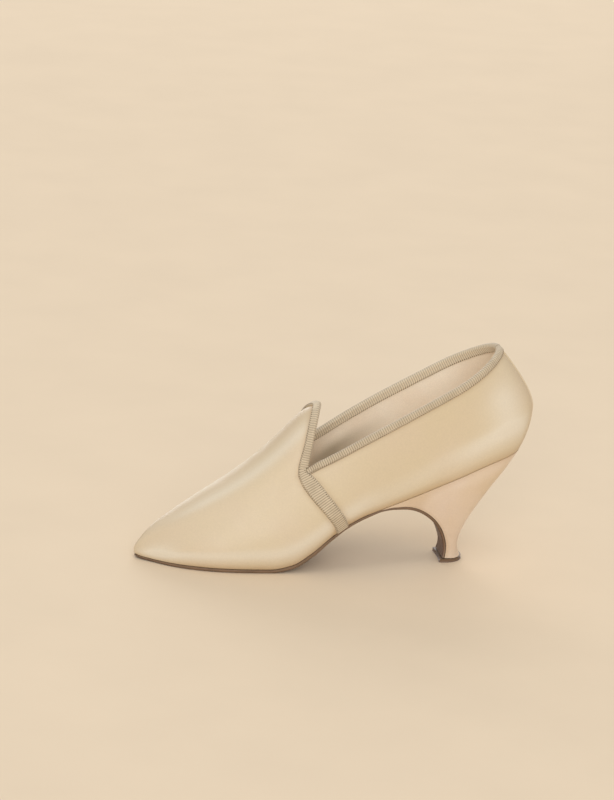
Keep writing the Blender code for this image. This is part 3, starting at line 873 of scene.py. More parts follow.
# %% [markdown]
# ## Ribbed ribbon
# All edges are bound with one kind of ribbon: silk with fine ribs across it, grey-beige, about ten
# millimetres wide. The ribs are real relief here, since they catch the light along every edge of the
# shoe. The finish adds what is finer: the threads that run along the ribbon, a dull silk sheen, and a
# painted shade in the grooves and along the woven edges, which reads a value that the ribbon carries.

# %% The ribbon finish
RIBBON_LIGHT = shade(218, 201, 173)
RIBBON_GREY = shade(202, 185, 158)
RIBBON_SHADE_AND_JOIN = shade(118, 98, 74)
RIBBON_INSIDE = shade(229, 213, 186)
THREAD_WIDTH = 0.4


def ribbon_finish(name, light, grey, lighter_inside, groove):
    """Two tones in clouds, a lighter one inside, painted shade and a dark join by a value, and threads
    along its length.
    """
    made, tree, shader = new_finish(name, Sheen_Weight=0.25, Sheen_Roughness=0.4, Roughness=0.62)
    clouds = ramp(tree, noise(tree, scale=160.0, detail=4.0), *CLOUDY)
    colour = mixed(tree, clouds, light, grey)
    colour = mixed(tree, value_of(tree, "lighter_inside"), colour, lighter_inside)
    # The dark tone is a painted shade in the grooves and along the edges, and also the dark join at the
    # back.
    feed(tree, shader, Base_Color=mixed(tree, value_of(tree, "groove"), colour, groove))
    turns = reckon(tree, "MULTIPLY", value_of(tree, "across"), 2 * np.pi / THREAD_WIDTH)
    fuzz = reckon(tree, "ADD", noise(tree, scale=2500.0, detail=2.0), reckon(tree, "SINE", turns))
    bumped(tree, shader, fuzz, depth=0.03, strength=0.5)
    return made


ribbon_silk = ribbon_finish("ribbon_ribs", RIBBON_LIGHT, RIBBON_GREY, RIBBON_INSIDE, RIBBON_SHADE_AND_JOIN)
print("finish", ribbon_silk.name)

# %% [markdown]
# ## How a ribbon lies on the leather
# A ribbon keeps its width square to the edge that it follows, and it bends with the leather under it.
# So each row of the ribbon is a short walk: it starts on the edge, sets out square to it, and goes
# straight on over the surface, the way a ribbon does when it is smoothed down by hand. Rows along the
# ribs of the last would be simpler, but they would cross a sloping edge aslant.

# %% Walking over the leather from an edge
STATION_STEP = 0.02
SHARE_STEP = 0.0005
LAST_STATION = CENTRE_BACK - 0.05


def leather(station, height):
    """Outside of the near half in one pair of parameters: the wall up to 1, the crown from 1 to 2."""
    low = wall(station, np.minimum(height, 1.0))
    high = crown(station, np.maximum(height - 1, 0.0))
    return np.where((np.asarray(height) < 1)[..., None], low, high)


def dot(a, b):
    """Product of matching directions."""
    return np.sum(a * b, axis=-1)


def walk_in(surface, station, height, run, hand_side, distances):
    """Rows over a surface that start on an edge, square to its run, and end at the given distances.

    In each step the two parameters move by the least squares solution of slopes times move = way, and
    the way is laid into the tangent plane again. hand_side says on which side of the run the leather
    is. Returns points and normals from deep to the edge, and the way that the edge faces.
    """
    along, up, normal = frame_of(surface, station, height, STATION_STEP, SHARE_STEP)
    way = unit(np.cross(run, normal)) * hand_side
    rim = -way
    rows = [(surface(station, height), normal)]
    for step in np.diff(distances, axis=0):
        way = unit(way - normal * dot(way, normal)[:, None])
        aa, au, uu = dot(along, along), dot(along, up), dot(up, up)
        wa, wu = dot(along, way), dot(up, way)
        scale = step / (aa * uu - au * au)
        station = np.minimum(station + (wa * uu - wu * au) * scale, LAST_STATION)
        height = height + (wu * aa - wa * au) * scale
        along, up, normal = frame_of(surface, station, height, STATION_STEP, SHARE_STEP)
        rows.append((surface(station, height), normal))
    points, normals = (np.stack([row[k] for row in rows[::-1]], axis=1) for k in (0, 1))
    return points, normals, rim


print("slopes are measured over", 2 * STATION_STEP, "mm along the shoe")

# %% [markdown]
# Where the ribbon is folded over an edge, the surface under it runs up the outside, round the rim of
# the leather and down the inside. The rim is half an ellipse between the two sides of the wall.

# %% A surface folded over an edge
FOLD_STEPS = 9
RIM_RISE = 0.35


def folded(points, normals, rim, outside_columns):
    """Rows that run up the outside, round the rim by half an ellipse, and down the inside.

    The inside takes all columns of the walk, and the outside only those next to the edge.
    """
    turn = np.linspace(0, np.pi, FOLD_STEPS)[1:-1]
    cos, sin = np.cos(turn)[None, :, None], np.sin(turn)[None, :, None]
    out, up = normals[:, -1:, :], rim[:, None, :]
    middle = points[:, -1:, :] - out * WALL_THICKNESS / 2
    arc = middle + out * cos * WALL_THICKNESS / 2 + up * sin * RIM_RISE
    inside = (points - normals * WALL_THICKNESS)[:, ::-1]
    base = np.concatenate([points[:, -outside_columns:], arc, inside], axis=1)
    outward = [normals[:, -outside_columns:], unit(out * cos + up * sin), -normals[:, ::-1]]
    return base, np.concatenate(outward, axis=1)


print("the rim rounds a wall of", WALL_THICKNESS, "mm")

# %% [markdown]
# The rows are measured along the ribbon and cut again at equal steps, six to a rib. Each rib is half an
# ellipse of the length along, and it fades towards the woven edges, which stay smooth and round. One
# could press the ribs in with a bump alone, but then the ribbon's outline would stay a straight line.

# %% Ribs of the ribbon
RIB_PITCH = 1.4
RIB_HEIGHT = 0.28
RIB_STEPS = 6
RIBBON_HEIGHT = 0.8
RIBBON_SINK = -0.3
EDGE_ROUND = 0.6
WOVEN_EDGE = (0.35, 1.0)
SELVEDGE = (0.1, 0.55)
SELVEDGE_SHADE = 0.75


def widths(base):
    """Distance across each row, from its first point to each."""
    steps = np.linalg.norm(np.diff(base, axis=1), axis=2)
    return np.concatenate([np.zeros((len(base), 1)), np.cumsum(steps, axis=1)], axis=1)


def rows_at(grid, index):
    """Rows of a grid at broken row numbers, mixed in a straight line from the two beside each."""
    low = np.clip(index.astype(int), 0, len(grid) - 2)
    t = (index - low)[:, None, None]
    return grid[low] * (1 - t) + grid[low + 1] * t


def equal_rows(line):
    """Lengths along a line at equal steps, and the broken row numbers where they are."""
    length = run_length(line)
    along = np.linspace(0, length[-1], int(length[-1] / RIB_PITCH * RIB_STEPS) + 1)
    return along, np.interp(along, length, np.arange(len(length)))


def ribbed(along, base, normal, from_edge, hold=1.0):
    """Upper side and underside of a ribbon, with its values for the finish.

    The height over the leather is a quarter circle at the woven edge, and half an ellipse for each
    rib inside it; hold lowers an end.
    """
    rib = np.sqrt(1 - (2 * np.mod(along / RIB_PITCH, 1.0) - 1) ** 2)[:, None]
    body = np.sqrt(1 - (1 - np.clip(from_edge / EDGE_ROUND, 0, 1)) ** 2)
    inside = smoothstep(*WOVEN_EDGE, from_edge)
    height = (RIBBON_HEIGHT * body + RIB_HEIGHT * rib * inside) * hold
    # A painted shade darkens the grooves between the ribs and the woven edges.
    selvedge_shade = SELVEDGE_SHADE * fade(*SELVEDGE, from_edge)
    values = {"groove": np.maximum((1 - rib) * inside, selvedge_shade), "across": from_edge}
    return base + normal * height[..., None], base + normal * RIBBON_SINK, values


print("ribs of", RIB_PITCH, "mm, in", RIB_STEPS, "steps each")

# %% [markdown]
# ## The collar's ribbon
# The quarters are bound from throat to throat round the back. The ribbon reaches a little deeper inside
# than outside. The walk is made on the near half, and its mirror image runs on from the centre back, so
# that the rows can be cut at equal steps in one go from throat to throat.

# %% Surface under the collar's ribbon
COLLAR_START = 0.5
RUN_STEP = 0.04
INSIDE_DEPTH = 4.5
INSIDE_COLUMNS = 16
OUTSIDE_COLUMNS = 12
COLLAR_STEPS = (200, 181)
collar_stations = even_steps(
    (THROAT_X + COLLAR_START, FAN_X, COLLAR_STEPS[0]), (FAN_X, LAST_STATION, COLLAR_STEPS[1])
)
below_top = np.full_like(collar_stations, 1 - 2 * SHARE_STEP)
collar_run = unit(topline(collar_stations + RUN_STEP) - topline(collar_stations - RUN_STEP))
distances = np.linspace(0, INSIDE_DEPTH, INSIDE_COLUMNS)
walked = walk_in(wall, collar_stations, below_top, collar_run, 1, distances)
base, normal = folded(*walked, OUTSIDE_COLUMNS)
base[-1, :, 1] = normal[-1, :, 1] = 0
base, normal = (np.concatenate([grid, far_side(grid)[-2::-1]]) for grid in (base, normal))
along, index = equal_rows(base[:, OUTSIDE_COLUMNS + FOLD_STEPS // 2])
collar_base, collar_normal = rows_at(base, index), unit(rows_at(normal, index))
print("collar ribbon is", round(along[-1]), "mm long")

# %% [markdown]
# At the throat the ribbon is thinned, because there it goes under the band of the vamp. Its two ends
# meet at the centre back in a fine dark join. Outside the fold it is a little darker, and inside,
# past a set distance across, it is lighter.

# %% The binding of the collar
COLLAR_THIN = 0.5
THIN_UP_TO = (2.0, 9.0)
JOIN_WIDTH = 0.4
JOIN_DIP = 0.5
LIGHTER_FROM = (3.8, 5.6)
COLLAR_OUTSIDE_DARK = 0.1
across = widths(collar_base)
from_throat = np.minimum(along, along[-1] - along)[:, None]
join = bell((along - along[-1] / 2)[:, None], JOIN_WIDTH)
hold = COLLAR_THIN + (1 - COLLAR_THIN) * smoothstep(*THIN_UP_TO, from_throat)
hold = hold * (1 - JOIN_DIP * join)
from_edge = np.minimum(across, across[:, -1:] - across)
top_side, underside, values = ribbed(along, collar_base, collar_normal, from_edge, hold)
# Lighter inside the fold and a little darker outside it.
values["lighter_inside"] = smoothstep(*LIGHTER_FROM, across)
outside_dark = COLLAR_OUTSIDE_DARK * (1 - values["lighter_inside"])
values["groove"] = np.maximum(values["groove"], np.maximum(join, outside_dark))
collar = Skin().add_slab(top_side, underside, **values)
collar.piece("collar_ribbon", ribbon_silk, "ribbed_ribbon", "topline_binding")

# %% [markdown]
# ## The vamp's ribbon
# One length of the same ribbon starts at the sole, lies flat over the side seam, reaches the throat,
# is folded over the edge of the tongue up to its peak, and comes down the same way on the other side.
# The band and the outside of the fold are one sheet, and the inside of the fold is a second one that
# starts at the throat. Where the flat band meets the wall is found by halving the interval of shares
# until the wall has the band's height.

# %% Surfaces under the vamp's ribbon
BAND_ROWS = 90
BAND_COLUMNS = 18
BAND_SLOPES = (0.3, 0.004)
TONGUE_ROWS = 110
TONGUE_FOOT = 0.045
FOOT_WIDTH = 4.6
FOOT_UP_TO = 0.4
EDGE_STEP = 0.005
PEAK_ROUND = 0.82
PEAK_X = THROAT_X + TONGUE_REACH
LAST_TONGUE_X = PEAK_X - 2 * STATION_STEP
HALVINGS = 30
TOP_SHARE = 0.998


def share_at(x, height):
    """Share of the rib at x where the wall reaches a height, by halving the interval."""
    low, high = np.zeros_like(x), np.full_like(x, TOP_SHARE)
    for _ in range(HALVINGS):
        middle = (low + high) / 2
        under = wall(x, middle)[..., 2] < height
        low, high = np.where(under, middle, low), np.where(under, high, middle)
    return (low + high) / 2


def band_surface(run, columns):
    """Flat band over the side seam: column 0 is its front edge and 1 its rear edge."""
    ends = [SIDE_BAND.read(name, run)[:, None] for name in SIDE_BAND.columns[1:]]
    rear_x, rear_height, front_x, front_height = ends
    x = front_x + (rear_x - front_x) * columns
    share = share_at(x, front_height + (rear_height - front_height) * columns)
    return wall(x, share), frame_of(wall, x, share, *BAND_SLOPES)[2]


def tongue_edge(share):
    """Point of the tongue's edge at a share of its climb."""
    share = np.clip(share, 0, 1)
    return leather(np.minimum(tongue_x(share), LAST_TONGUE_X), 1 + share)


def tongue_fold(share):
    """Folded surface over the tongue's edge; towards the peak the rows turn to the middle of the shoe."""
    run = unit(tongue_edge(share + EDGE_STEP) - tongue_edge(share - EDGE_STEP))
    to_middle = smoothstep(PEAK_ROUND, 1.0, share)[:, None]
    run = unit(run * (1 - to_middle) + np.array([0.0, 1.0, 0.0]) * to_middle)
    width = RIBBON_HALF + (FOOT_WIDTH - RIBBON_HALF) * fade(TONGUE_FOOT, FOOT_UP_TO, share)
    distances = np.linspace(0, 1, BAND_COLUMNS)[:, None] * width
    station = np.minimum(tongue_x(share), LAST_TONGUE_X)
    return folded(*walk_in(leather, station, 1 + share, run, -1, distances), BAND_COLUMNS)


band_runs = np.linspace(0, SIDE_BAND.rows[-1, 0], BAND_ROWS)
band = band_surface(band_runs, np.linspace(0, 1, BAND_COLUMNS))
tongue = tongue_fold(np.linspace(TONGUE_FOOT, 1, TONGUE_ROWS))
for grid in tongue:
    grid[-1, :, 1] = 0
sheet = [np.concatenate([flat, fold[:, :BAND_COLUMNS]]) for flat, fold in zip(band, tongue)]
print("the band and the tongue's outside have", len(sheet[0]), "rows")

# %% [markdown]
# The sheet is cut at equal steps along its middle, and the inside of the fold takes the rows with the
# same numbers, so the two meet point by point along the edge of the tongue. The rear edge of the band
# is woven and falls off; it stops doing so at the throat, where the sheet runs on into the fold. Near
# the peak, where the ribbon is bent most, the painted shade of its grooves and edges fades.

# %% The ribbon of vamp and tongue
PEAK_FADE = 0.85
PEAK_NEAR = (4.0, 12.0)
vamp_along, vamp_index = equal_rows(sheet[0][:, BAND_COLUMNS // 2])
sheet_base, sheet_normal = rows_at(sheet[0], vamp_index), unit(rows_at(sheet[1], vamp_index))
on_tongue = vamp_index >= BAND_ROWS
throat_row = int(np.argmax(on_tongue))
fold_rows = vamp_index[on_tongue] - BAND_ROWS
fold_base, fold_normal = (rows_at(grid[:, BAND_COLUMNS - 1 :], fold_rows) for grid in tongue)
fold_normal = unit(fold_normal)
across = widths(sheet_base)
past_throat = np.clip(vamp_index - BAND_ROWS + 1, 0, 1)[:, None]
from_edge = np.minimum(across, across[:, -1:] - across + RIBBON_HALF * past_throat)
sheet_sides = ribbed(vamp_along, sheet_base, sheet_normal, from_edge)
across = widths(fold_base)
fold_sides = ribbed(vamp_along[on_tongue], fold_base, fold_normal, across[:, -1:] - across)
to_peak = (vamp_along[-1] - vamp_along)[:, None]
# The painted shade fades near the peak.
sheet_sides[2]["groove"] *= 1 - PEAK_FADE * fade(*PEAK_NEAR, to_peak)
vamp_ribbon = Skin()
for (upper_side, underside, values), edge_columns in (
    (sheet_sides, ((0, len(vamp_along)), (-1, throat_row + 1))),
    (fold_sides, ((-1, len(fold_rows)),)),
):
    vamp_ribbon.add_both(upper_side, **values).add_both(underside, **values)
    vamp_ribbon.add_both(np.stack([upper_side[0], underside[0]]))
    for column, rows in edge_columns:
        vamp_ribbon.add_both(np.stack([upper_side[:rows, column], underside[:rows, column]]))
vamp_ribbon.piece(
    "vamp_ribbon", ribbon_silk, "ribbed_ribbon", "tongue_binding", "side_band_near", "side_band_far"
)
print("vamp ribbon is", round(2 * vamp_along[-1]), "mm long")

# %% [markdown]
# ## Stitches
# The ribbon is sewn down by hand over its woven edges: short stitches of brown thread, one to a rib and
# nearly square to the edge, two rows on the band and one on each side of a fold. A stitch is a small
# spindle that sinks into the ribbon at both ends. One spindle is worked out and then copied along each
# line with numpy, because hundreds of objects would be slow to move. A seeded choice of small turns
# keeps the sewing from looking like a machine's.

# %% The thread finish and a line of stitches
THREAD_BROWN = shade(118, 97, 71)
STITCH_PITCH = 1.4
STITCH_LENGTH = 1.15
STITCH_THICK = 0.19
STITCH_TIP = 0.05
STITCH_SINK = 0.5
STITCH_SIDES = 6
STITCH_RINGS = 5
STITCH_CAP = np.array([(0, 1, 2, 3), (0, 3, 4, 5)])
LOOK_AHEAD = 0.4
HAND_TURN = 0.25
OVERCAST = 1.3
hand = np.random.default_rng(11)


def thread_finish(name, colour):
    """Brown thread, lighter and darker in short stretches, with a twist of fine noise."""
    made, tree, shader = new_finish(name, Roughness=0.7, Sheen_Weight=0.2)
    stretches = noise(tree, scale=700.0, detail=3.0)
    feed(tree, shader, Base_Color=toned(tree, colour, stretches, 0.75, 1.25))
    bumped(tree, shader, noise(tree, scale=4000.0, detail=2.0), depth=0.03, strength=0.5)
    return made


def spindle():
    """One stitch along x: rings of a circle whose size follows the root of 1 - t^4, sunk at the ends."""
    t = np.linspace(-1, 1, STITCH_RINGS)
    size = STITCH_THICK * np.sqrt(np.maximum(1 - t**4, STITCH_TIP))
    turn = np.linspace(0, 2 * np.pi, STITCH_SIDES, endpoint=False)
    sink = STITCH_SINK * STITCH_THICK * t**2
    return stack(
        (t * STITCH_LENGTH / 2)[:, None],
        size[:, None] * np.cos(turn),
        size[:, None] * np.sin(turn) - sink[:, None],
    )


def at_lengths(line, measured, lengths):
    """Values of a line at given lengths along it, by straight lines between its points."""
    return np.stack([np.interp(lengths, measured, line[:, k]) for k in range(3)], axis=-1)


def sew(skin, line, normal, pitch=STITCH_PITCH, lean=OVERCAST):
    """Copies the stitch along a line at equal steps.

    Each copy is turned about the line's normal by the lean and a little more; returns their number.
    """
    measured = run_length(line)
    lengths = np.arange(pitch / 2, measured[-1] - pitch / 2, pitch)
    middle = at_lengths(line, measured, lengths)
    ahead = at_lengths(line, measured, lengths + LOOK_AHEAD)
    behind = at_lengths(line, measured, lengths - LOOK_AHEAD)
    way = unit(ahead - behind)
    up = at_lengths(normal, measured, lengths)
    up = unit(up - way * dot(up, way)[:, None])
    square = np.cross(up, way)
    turn = lean + hand.uniform(-HAND_TURN, HAND_TURN, len(middle))[:, None]
    turned = way * np.cos(turn) + square * np.sin(turn)
    axes = np.stack([turned, np.cross(up, turned), up], axis=1)
    placed = middle[:, None, None, :] + np.einsum("rsk,nkc->nrsc", spindle(), axes)
    tube = grid_faces(STITCH_RINGS, STITCH_SIDES, True)
    last_ring = (STITCH_RINGS - 1) * STITCH_SIDES
    faces = np.concatenate([tube, STITCH_CAP[:, ::-1], STITCH_CAP + last_ring])
    first_points = len(skin.points) + np.arange(len(middle)) * STITCH_RINGS * STITCH_SIDES
    skin.faces = np.concatenate([skin.faces, (faces + first_points[:, None, None]).reshape(-1, 4)])
    skin.points = np.concatenate([skin.points, placed.reshape(-1, 3)])
    return len(middle)


brown_thread = thread_finish("thread_brown", THREAD_BROWN)
print("finish", brown_thread.name)

# %% [markdown]
# The rows of stitches lie on top of the ribs, less than a millimetre in from each woven edge.
# Their lines are read from the ribbons' own grids, so they follow every bend.

# %% Stitches along every ribbon
STITCH_INSET = 0.8
PRESSED = 0.6
ON_THE_RIBS = RIBBON_HEIGHT + RIB_HEIGHT * PRESSED


def line_in(base, normal, from_last):
    """Line on the ribs at the stitches' distance from the first or the last column, with its normals."""
    if from_last:
        base, normal = base[:, ::-1], normal[:, ::-1]
    across = widths(base)
    low = np.clip((across <= STITCH_INSET).sum(axis=1) - 1, 0, across.shape[1] - 2)
    rows = np.arange(len(base))
    step = across[rows, low + 1] - across[rows, low]
    t = ((STITCH_INSET - across[rows, low]) / step)[:, None]
    point = base[rows, low] * (1 - t) + base[rows, low + 1] * t
    out = unit(normal[rows, low] * (1 - t) + normal[rows, low + 1] * t)
    return point + out * ON_THE_RIBS, out


stitches = Skin()
half_lines = [
    line_in(sheet_base, sheet_normal, False),
    line_in(sheet_base[:throat_row], sheet_normal[:throat_row], True),
    line_in(fold_base, fold_normal, True),
]
lines = half_lines + [(far_side(line), far_side(out)) for line, out in half_lines]
lines += [line_in(collar_base, collar_normal, last) for last in (False, True)]
sewn = sum(sew(stitches, line, out) for line, out in lines)
stitches.piece("ribbon_stitches", brown_thread, "ribbed_ribbon")
print(sewn, "stitches")

# %% [markdown]
# ## The back strip and the lining's seam
# A narrow strip of kid covers the seam at the centre back outside. Inside, the lining is closed by a
# fine raised seam at the same place. Both are thin sheets on the wall: the strip spans a few degrees of
# the fan of ribs, so it follows the round of the heel instead of bridging it.

# %% Strip and seam at the centre back
STRIP_HALF = 1.2
STRIP_HEIGHT = 0.75
STRIP_SHARES = np.linspace(0.01, 0.965, 70)
SEAM_HALF = 0.55
SEAM_HEIGHT = 0.3
SEAM_SHARES = np.linspace(0.06, 0.95, 60)
BACK_RADIUS = 24.0
BACK_COLUMNS = 13
BACK_SINK = 0.2
BACK_SHARE_STEP = 0.002


def back_sheet(half, shares, height, inward=False):
    """Sheet over the centre back: a flat hump across, root of 1 - t^6, outside or on the lining."""
    across = np.linspace(-1, 1, BACK_COLUMNS)[None, :]
    at = np.minimum(CENTRE_BACK - np.degrees(half * np.abs(across) / BACK_RADIUS), LAST_STATION)
    share = shares[:, None]
    base = wall(at, share)
    out = frame_of(wall, at, share, STATION_STEP, BACK_SHARE_STEP)[2]
    mirror = np.where(across[..., None] > 0, far_side(np.ones(3)), np.ones(3))
    base, out = base * mirror, out * mirror
    if inward:
        base, out = base - out * WALL_THICKNESS, -out
    hump = np.sqrt(1 - across**6) * height
    return base + out * hump[..., None], base - out * BACK_SINK


strip = Skin().add_slab(*back_sheet(STRIP_HALF, STRIP_SHARES, STRIP_HEIGHT))
strip.piece("back_strip_kid", cream_kid, "cream_kid", "back_strip")
seam = Skin().add_slab(*back_sheet(SEAM_HALF, SEAM_SHARES, SEAM_HEIGHT, inward=True))
seam.piece("lining_seam", lining_skin, "insole_kid", "upper")

# %% [markdown]
# ## Sole leather
# The sole is a thin brown leather with a burnished edge. Its walking face is redder and rougher, with
# fibres along the shoe and pale scuffs under the ball. The edge and the face are one piece with one
# finish: a value on the piece says which is which.

# %% The sole leather finish
SOLE_EDGE = shade(122, 97, 74)
SOLE_FACE = shade(104, 74, 60)
SOLE_SCUFF = shade(142, 112, 90)


def sole_finish(name, edge_tone, face_tone, scuff_tone):
    """Edge or face tone by the piece's value, scuffs by its wear, and fibres along the shoe."""
    made, tree, shader = new_finish(name, Coat_Weight=0.08, Coat_Roughness=0.35)
    fibres = noise(tree, scale=500.0, detail=5.0, stretch=(0.12, 1.0, 1.0))
    colour = mixed(tree, value_of(tree, "face"), edge_tone, face_tone)
    scuffs = reckon(tree, "MULTIPLY", ramp(tree, fibres, 0.45, 0.7), value_of(tree, "wear"))
    colour = mixed(tree, scuffs, colour, scuff_tone)
    colour = toned(tree, colour, noise(tree, scale=90.0, detail=4.0), 0.86, 1.14)
    gloss = ramp(tree, fibres, *CLOUDY, to_low=0.42, to_high=0.62)
    feed(tree, shader, Base_Color=colour, Roughness=gloss)
    bumped(tree, shader, fibres, depth=0.08, strength=0.5)
    return made


sole_leather = sole_finish("sole_leather_brown", SOLE_EDGE, SOLE_FACE, SOLE_SCUFF)
print("finish", sole_leather.name)

# %% [markdown]
# ## The outsole
# One piece of leather runs under the forepart, up the waist and down the breast of the heel to the top
# lift. It is a flat section with rounded edges, carried along that line. The forepart's line hangs
# below the last by the thickness of the leather, which is pared thin towards the toe, and the breast
# has a table of its own. Both are put into one table by length, so the step between them is smooth.
# Round the toe the outline is moved out from the feather edge by the amount that the sole stands proud.

# %% The line of the sole
GAP = 0.3
SOLE_PROUD = 0.4
SOLE_FOREPART = 2.0
SOLE_BREAST = 1.4
SHANK_END_X = 136.0
SOLE_STEPS = 60
SOLE_TIP = 0.05
FORESOLE = Table(
    "x thickness",
    (0, 0.9),
    (14, 1.4),
    (32, SOLE_FOREPART),
    (SHANK_END_X, SOLE_FOREPART),
)
BREAST = np.array(
    [
        # x, height, half width
        (147, 38.3, 26.6),
        (154, 39.6, 26.2),
        (163.5, 39.2, 24.8),
        (172, 35.6, 21.6),
        (180.3, 28.6, 16.6),
        (186, 20.6, 11.8),
        (189.4, 12.3, 8.8),
        (190, 7.0, 8.8),
        (189.4, 2.8, 9.8),
    ]
)


def through(values, at):
    """Values of a list read between its rows by a Catmull-Rom curve."""
    padded = np.concatenate([2 * values[:1] - values[1:2], values, 2 * values[-1:] - values[-2:-1]])
    i = np.clip(at.astype(int), 0, len(values) - 2)
    t = (at - i).reshape(-1, *[1] * (values.ndim - 1))
    a, b, c, d = (padded[i + k] for k in range(4))
    return b + 0.5 * t * (c - a + t * (2 * a - 5 * b + 4 * c - d + t * (3 * (b - c) + d - a)))


def sole_line():
    """Rows of x, height, half width and thickness of the sole's walking face, from toe to lift."""
    station = np.concatenate([nose_stations[:-1], np.linspace(NOSE, SHANK_END_X, SOLE_STEPS)])
    outline = feather(station)
    tangent = unit(np.gradient(outline[:, :2], axis=0))
    outline[:, :2] += np.stack([tangent[:, 1], -tangent[:, 0]], axis=1) * SOLE_PROUD
    x, half = outline[:, 0], np.maximum(-outline[:, 1], SOLE_TIP)
    slope = np.gradient(BOTTOM.read("height", x), x)
    thick = FORESOLE.read("thickness", x)
    low = BOTTOM.read("height", x) - GAP - thick * np.sqrt(1 + slope**2)
    fore = np.stack([x, low, half, thick], axis=1)
    breast = through(BREAST, np.linspace(0, len(BREAST) - 1, SOLE_STEPS))
    thin = np.linspace(SOLE_FOREPART, SOLE_BREAST, len(breast))
    return np.concatenate([fore, np.concatenate([breast, thin[:, None]], axis=1)])


sole_rows = sole_line()
sole_length = run_length(sole_rows[:, :2])
SOLE = Table("run x height half thick", *np.concatenate([sole_length[:, None], sole_rows], axis=1))
print("the sole is", round(sole_length[-1]), "mm long")

# %% [markdown]
# The sections stand square to the line. At the waist the lower edge is pared at a low angle, so that the
# sole looks thin from the side and keeps its thickness in the middle. The wear value is a soft oval
# under the ball and another at the tip of the toe, the two places that touch the ground.

# %% The outsole of brown leather
BALL_X = 62.0
BALL_LENGTH = 26.0
BALL_WIDTH = 20.0
TIP_X = 10.0
TIP_LENGTH = 8.0
TIP_WEAR = 0.6
FACE_EDGE = (0.15, 0.6)
SOLE_ROUND = 0.8
SOLE_ROUND_SHARE = 0.5
SOLE_TOP_ROUND = 0.35
SHARP_ANGLE = 50
RING_STEPS = 210
PARED_FROM = (106.0, 128.0)
PARED_TO = (146.0, 158.0)
PARED_EDGE = 1.25
PARED_SLOPE = 0.26
nose_run = sole_length[:NOSE_STEPS]
run = np.concatenate([nose_run[:-1], np.linspace(nose_run[-1], sole_length[-1], RING_STEPS)])
sole_x, sole_z, sole_half, sole_thick = (SOLE.read(name, run) for name in SOLE.columns[1:])
way = unit(np.stack([np.gradient(sole_x, run), np.gradient(sole_z, run)], axis=1))
sole_up = np.stack([-way[:, 1], way[:, 0]], axis=1)
low_round = np.minimum(SOLE_ROUND, SOLE_ROUND_SHARE * sole_thick)
across, up = rounded_section(sole_half, np.zeros_like(run), sole_thick, low_round, SOLE_TOP_ROUND)
pared = between(PARED_FROM, PARED_TO, sole_x)[:, None]
paring = sole_thick[:, None] - PARED_EDGE - PARED_SLOPE * (sole_half[:, None] - np.abs(across))
up = up + pared * np.maximum(paring - up, 0)
ring_x, ring_z = sole_x[:, None] + sole_up[:, :1] * up, sole_z[:, None] + sole_up[:, 1:] * up
sole_rings = stack(ring_x, across, ring_z)
face = fade(*FACE_EDGE, up)
ball = bell(sole_x[:, None] - BALL_X, BALL_LENGTH) * bell(across, BALL_WIDTH)
toe_tip = bell(sole_x[:, None] - TIP_X, TIP_LENGTH)
wear = np.clip(ball + TIP_WEAR * toe_tip, 0, 1) * face
outsole = Skin().add(sole_rings, closed=True, face=face, wear=wear)
for end in (0, -1):
    outsole.add(fan_of(sole_rings[end]), closed=True)
outsole.piece("outsole_leather", sole_leather, "sole_leather", "outsole", sharp=SHARP_ANGLE)
print("thickness", round(float(sole_thick.min()), 2), "to", round(float(sole_thick.max()), 2), "mm")

# %% [markdown]
# The leather on the breast of the heel is sewn along both of its edges, from the waist down to the
# lift. The stitches lie on the walking face, so their normals are the sole's, turned round.

# %% Stitches on the breast
BREAST_INSET = 1.7
BREAST_PITCH = 2.4
BREAST_STITCH_START = 159.0
BREAST_LEAN = 0.0
breast_rows = sole_x > BREAST_STITCH_START
breast_line = stack(sole_x, -(sole_half - BREAST_INSET), sole_z)[breast_rows]
breast_out = stack(-sole_up[:, 0], 0.0, -sole_up[:, 1])[breast_rows]
breast_stitches = Skin()
for line in (breast_line, far_side(breast_line)):
    sew(breast_stitches, line, breast_out, BREAST_PITCH, BREAST_LEAN)
breast_stitches.piece("breast_stitches", brown_thread, "sole_leather")

# %% [markdown]
# ## The covered heel
# The heel is a block of wood, curved in at the back and waisted above the lift, with leather drawn over
# it. Its sections are D-shaped and turn from the level of the lift to the slope of the heel seat. A few
# sections come from a table, and a Catmull-Rom curve runs through them from the lift to the seat. A
# loft of straight pieces would show each section as a crease in the gloss.

# %% The heel cover's finish
HEEL_PINK = shade(232, 213, 196)
HEEL_TAN = shade(225, 203, 175)
HEEL_SHADE = shade(206, 178, 146)
# The last tone is the colour of the painted shade.
heel_cover = kid_finish("heel_cover_kid", HEEL_TAN, HEEL_PINK, KID_HIGHLIGHT, HEEL_SHADE)
HEEL = Table(
    "breast_share back_height side_half round_share",
    (0.0, 2.4, 10.0, 0.74),
    (0.05, 4.4, 9.0, 0.73),
    (0.1, 7.0, 8.4, 0.72),
    (0.2, 12.0, 8.6, 0.70),
    (0.3, 18.0, 10.2, 0.68),
    (0.4, 24.5, 12.4, 0.66),
    (0.5, 32.0, 15.0, 0.64),
    (0.6, 40.0, 17.6, 0.62),
    (0.7, 48.0, 19.8, 0.60),
    (0.8, 56.0, 21.6, 0.58),
    (0.9, 63.5, 23.0, 0.57),
)
HEEL_BACK = Table(
    "height x",
    (2.3, 202.3),
    (6, 200.6),
    (10, 200.2),
    (17, 201.6),
    (25.3, 205.0),
    (39.4, 213.0),
    (49.7, 219.6),
    (63.8, 229.3),
    (72, SEAT_BACK_X),
)
print("finish", heel_cover.name)

# %% [markdown]
# Each section starts at the breast, just behind the leather, and runs along the side and round the
# back: a straight share first, then a quarter of an ellipse. The last section is the heel seat, a
# little under the feather edge of the upper, and its front runs out in a thin tip between upper and
# sole.

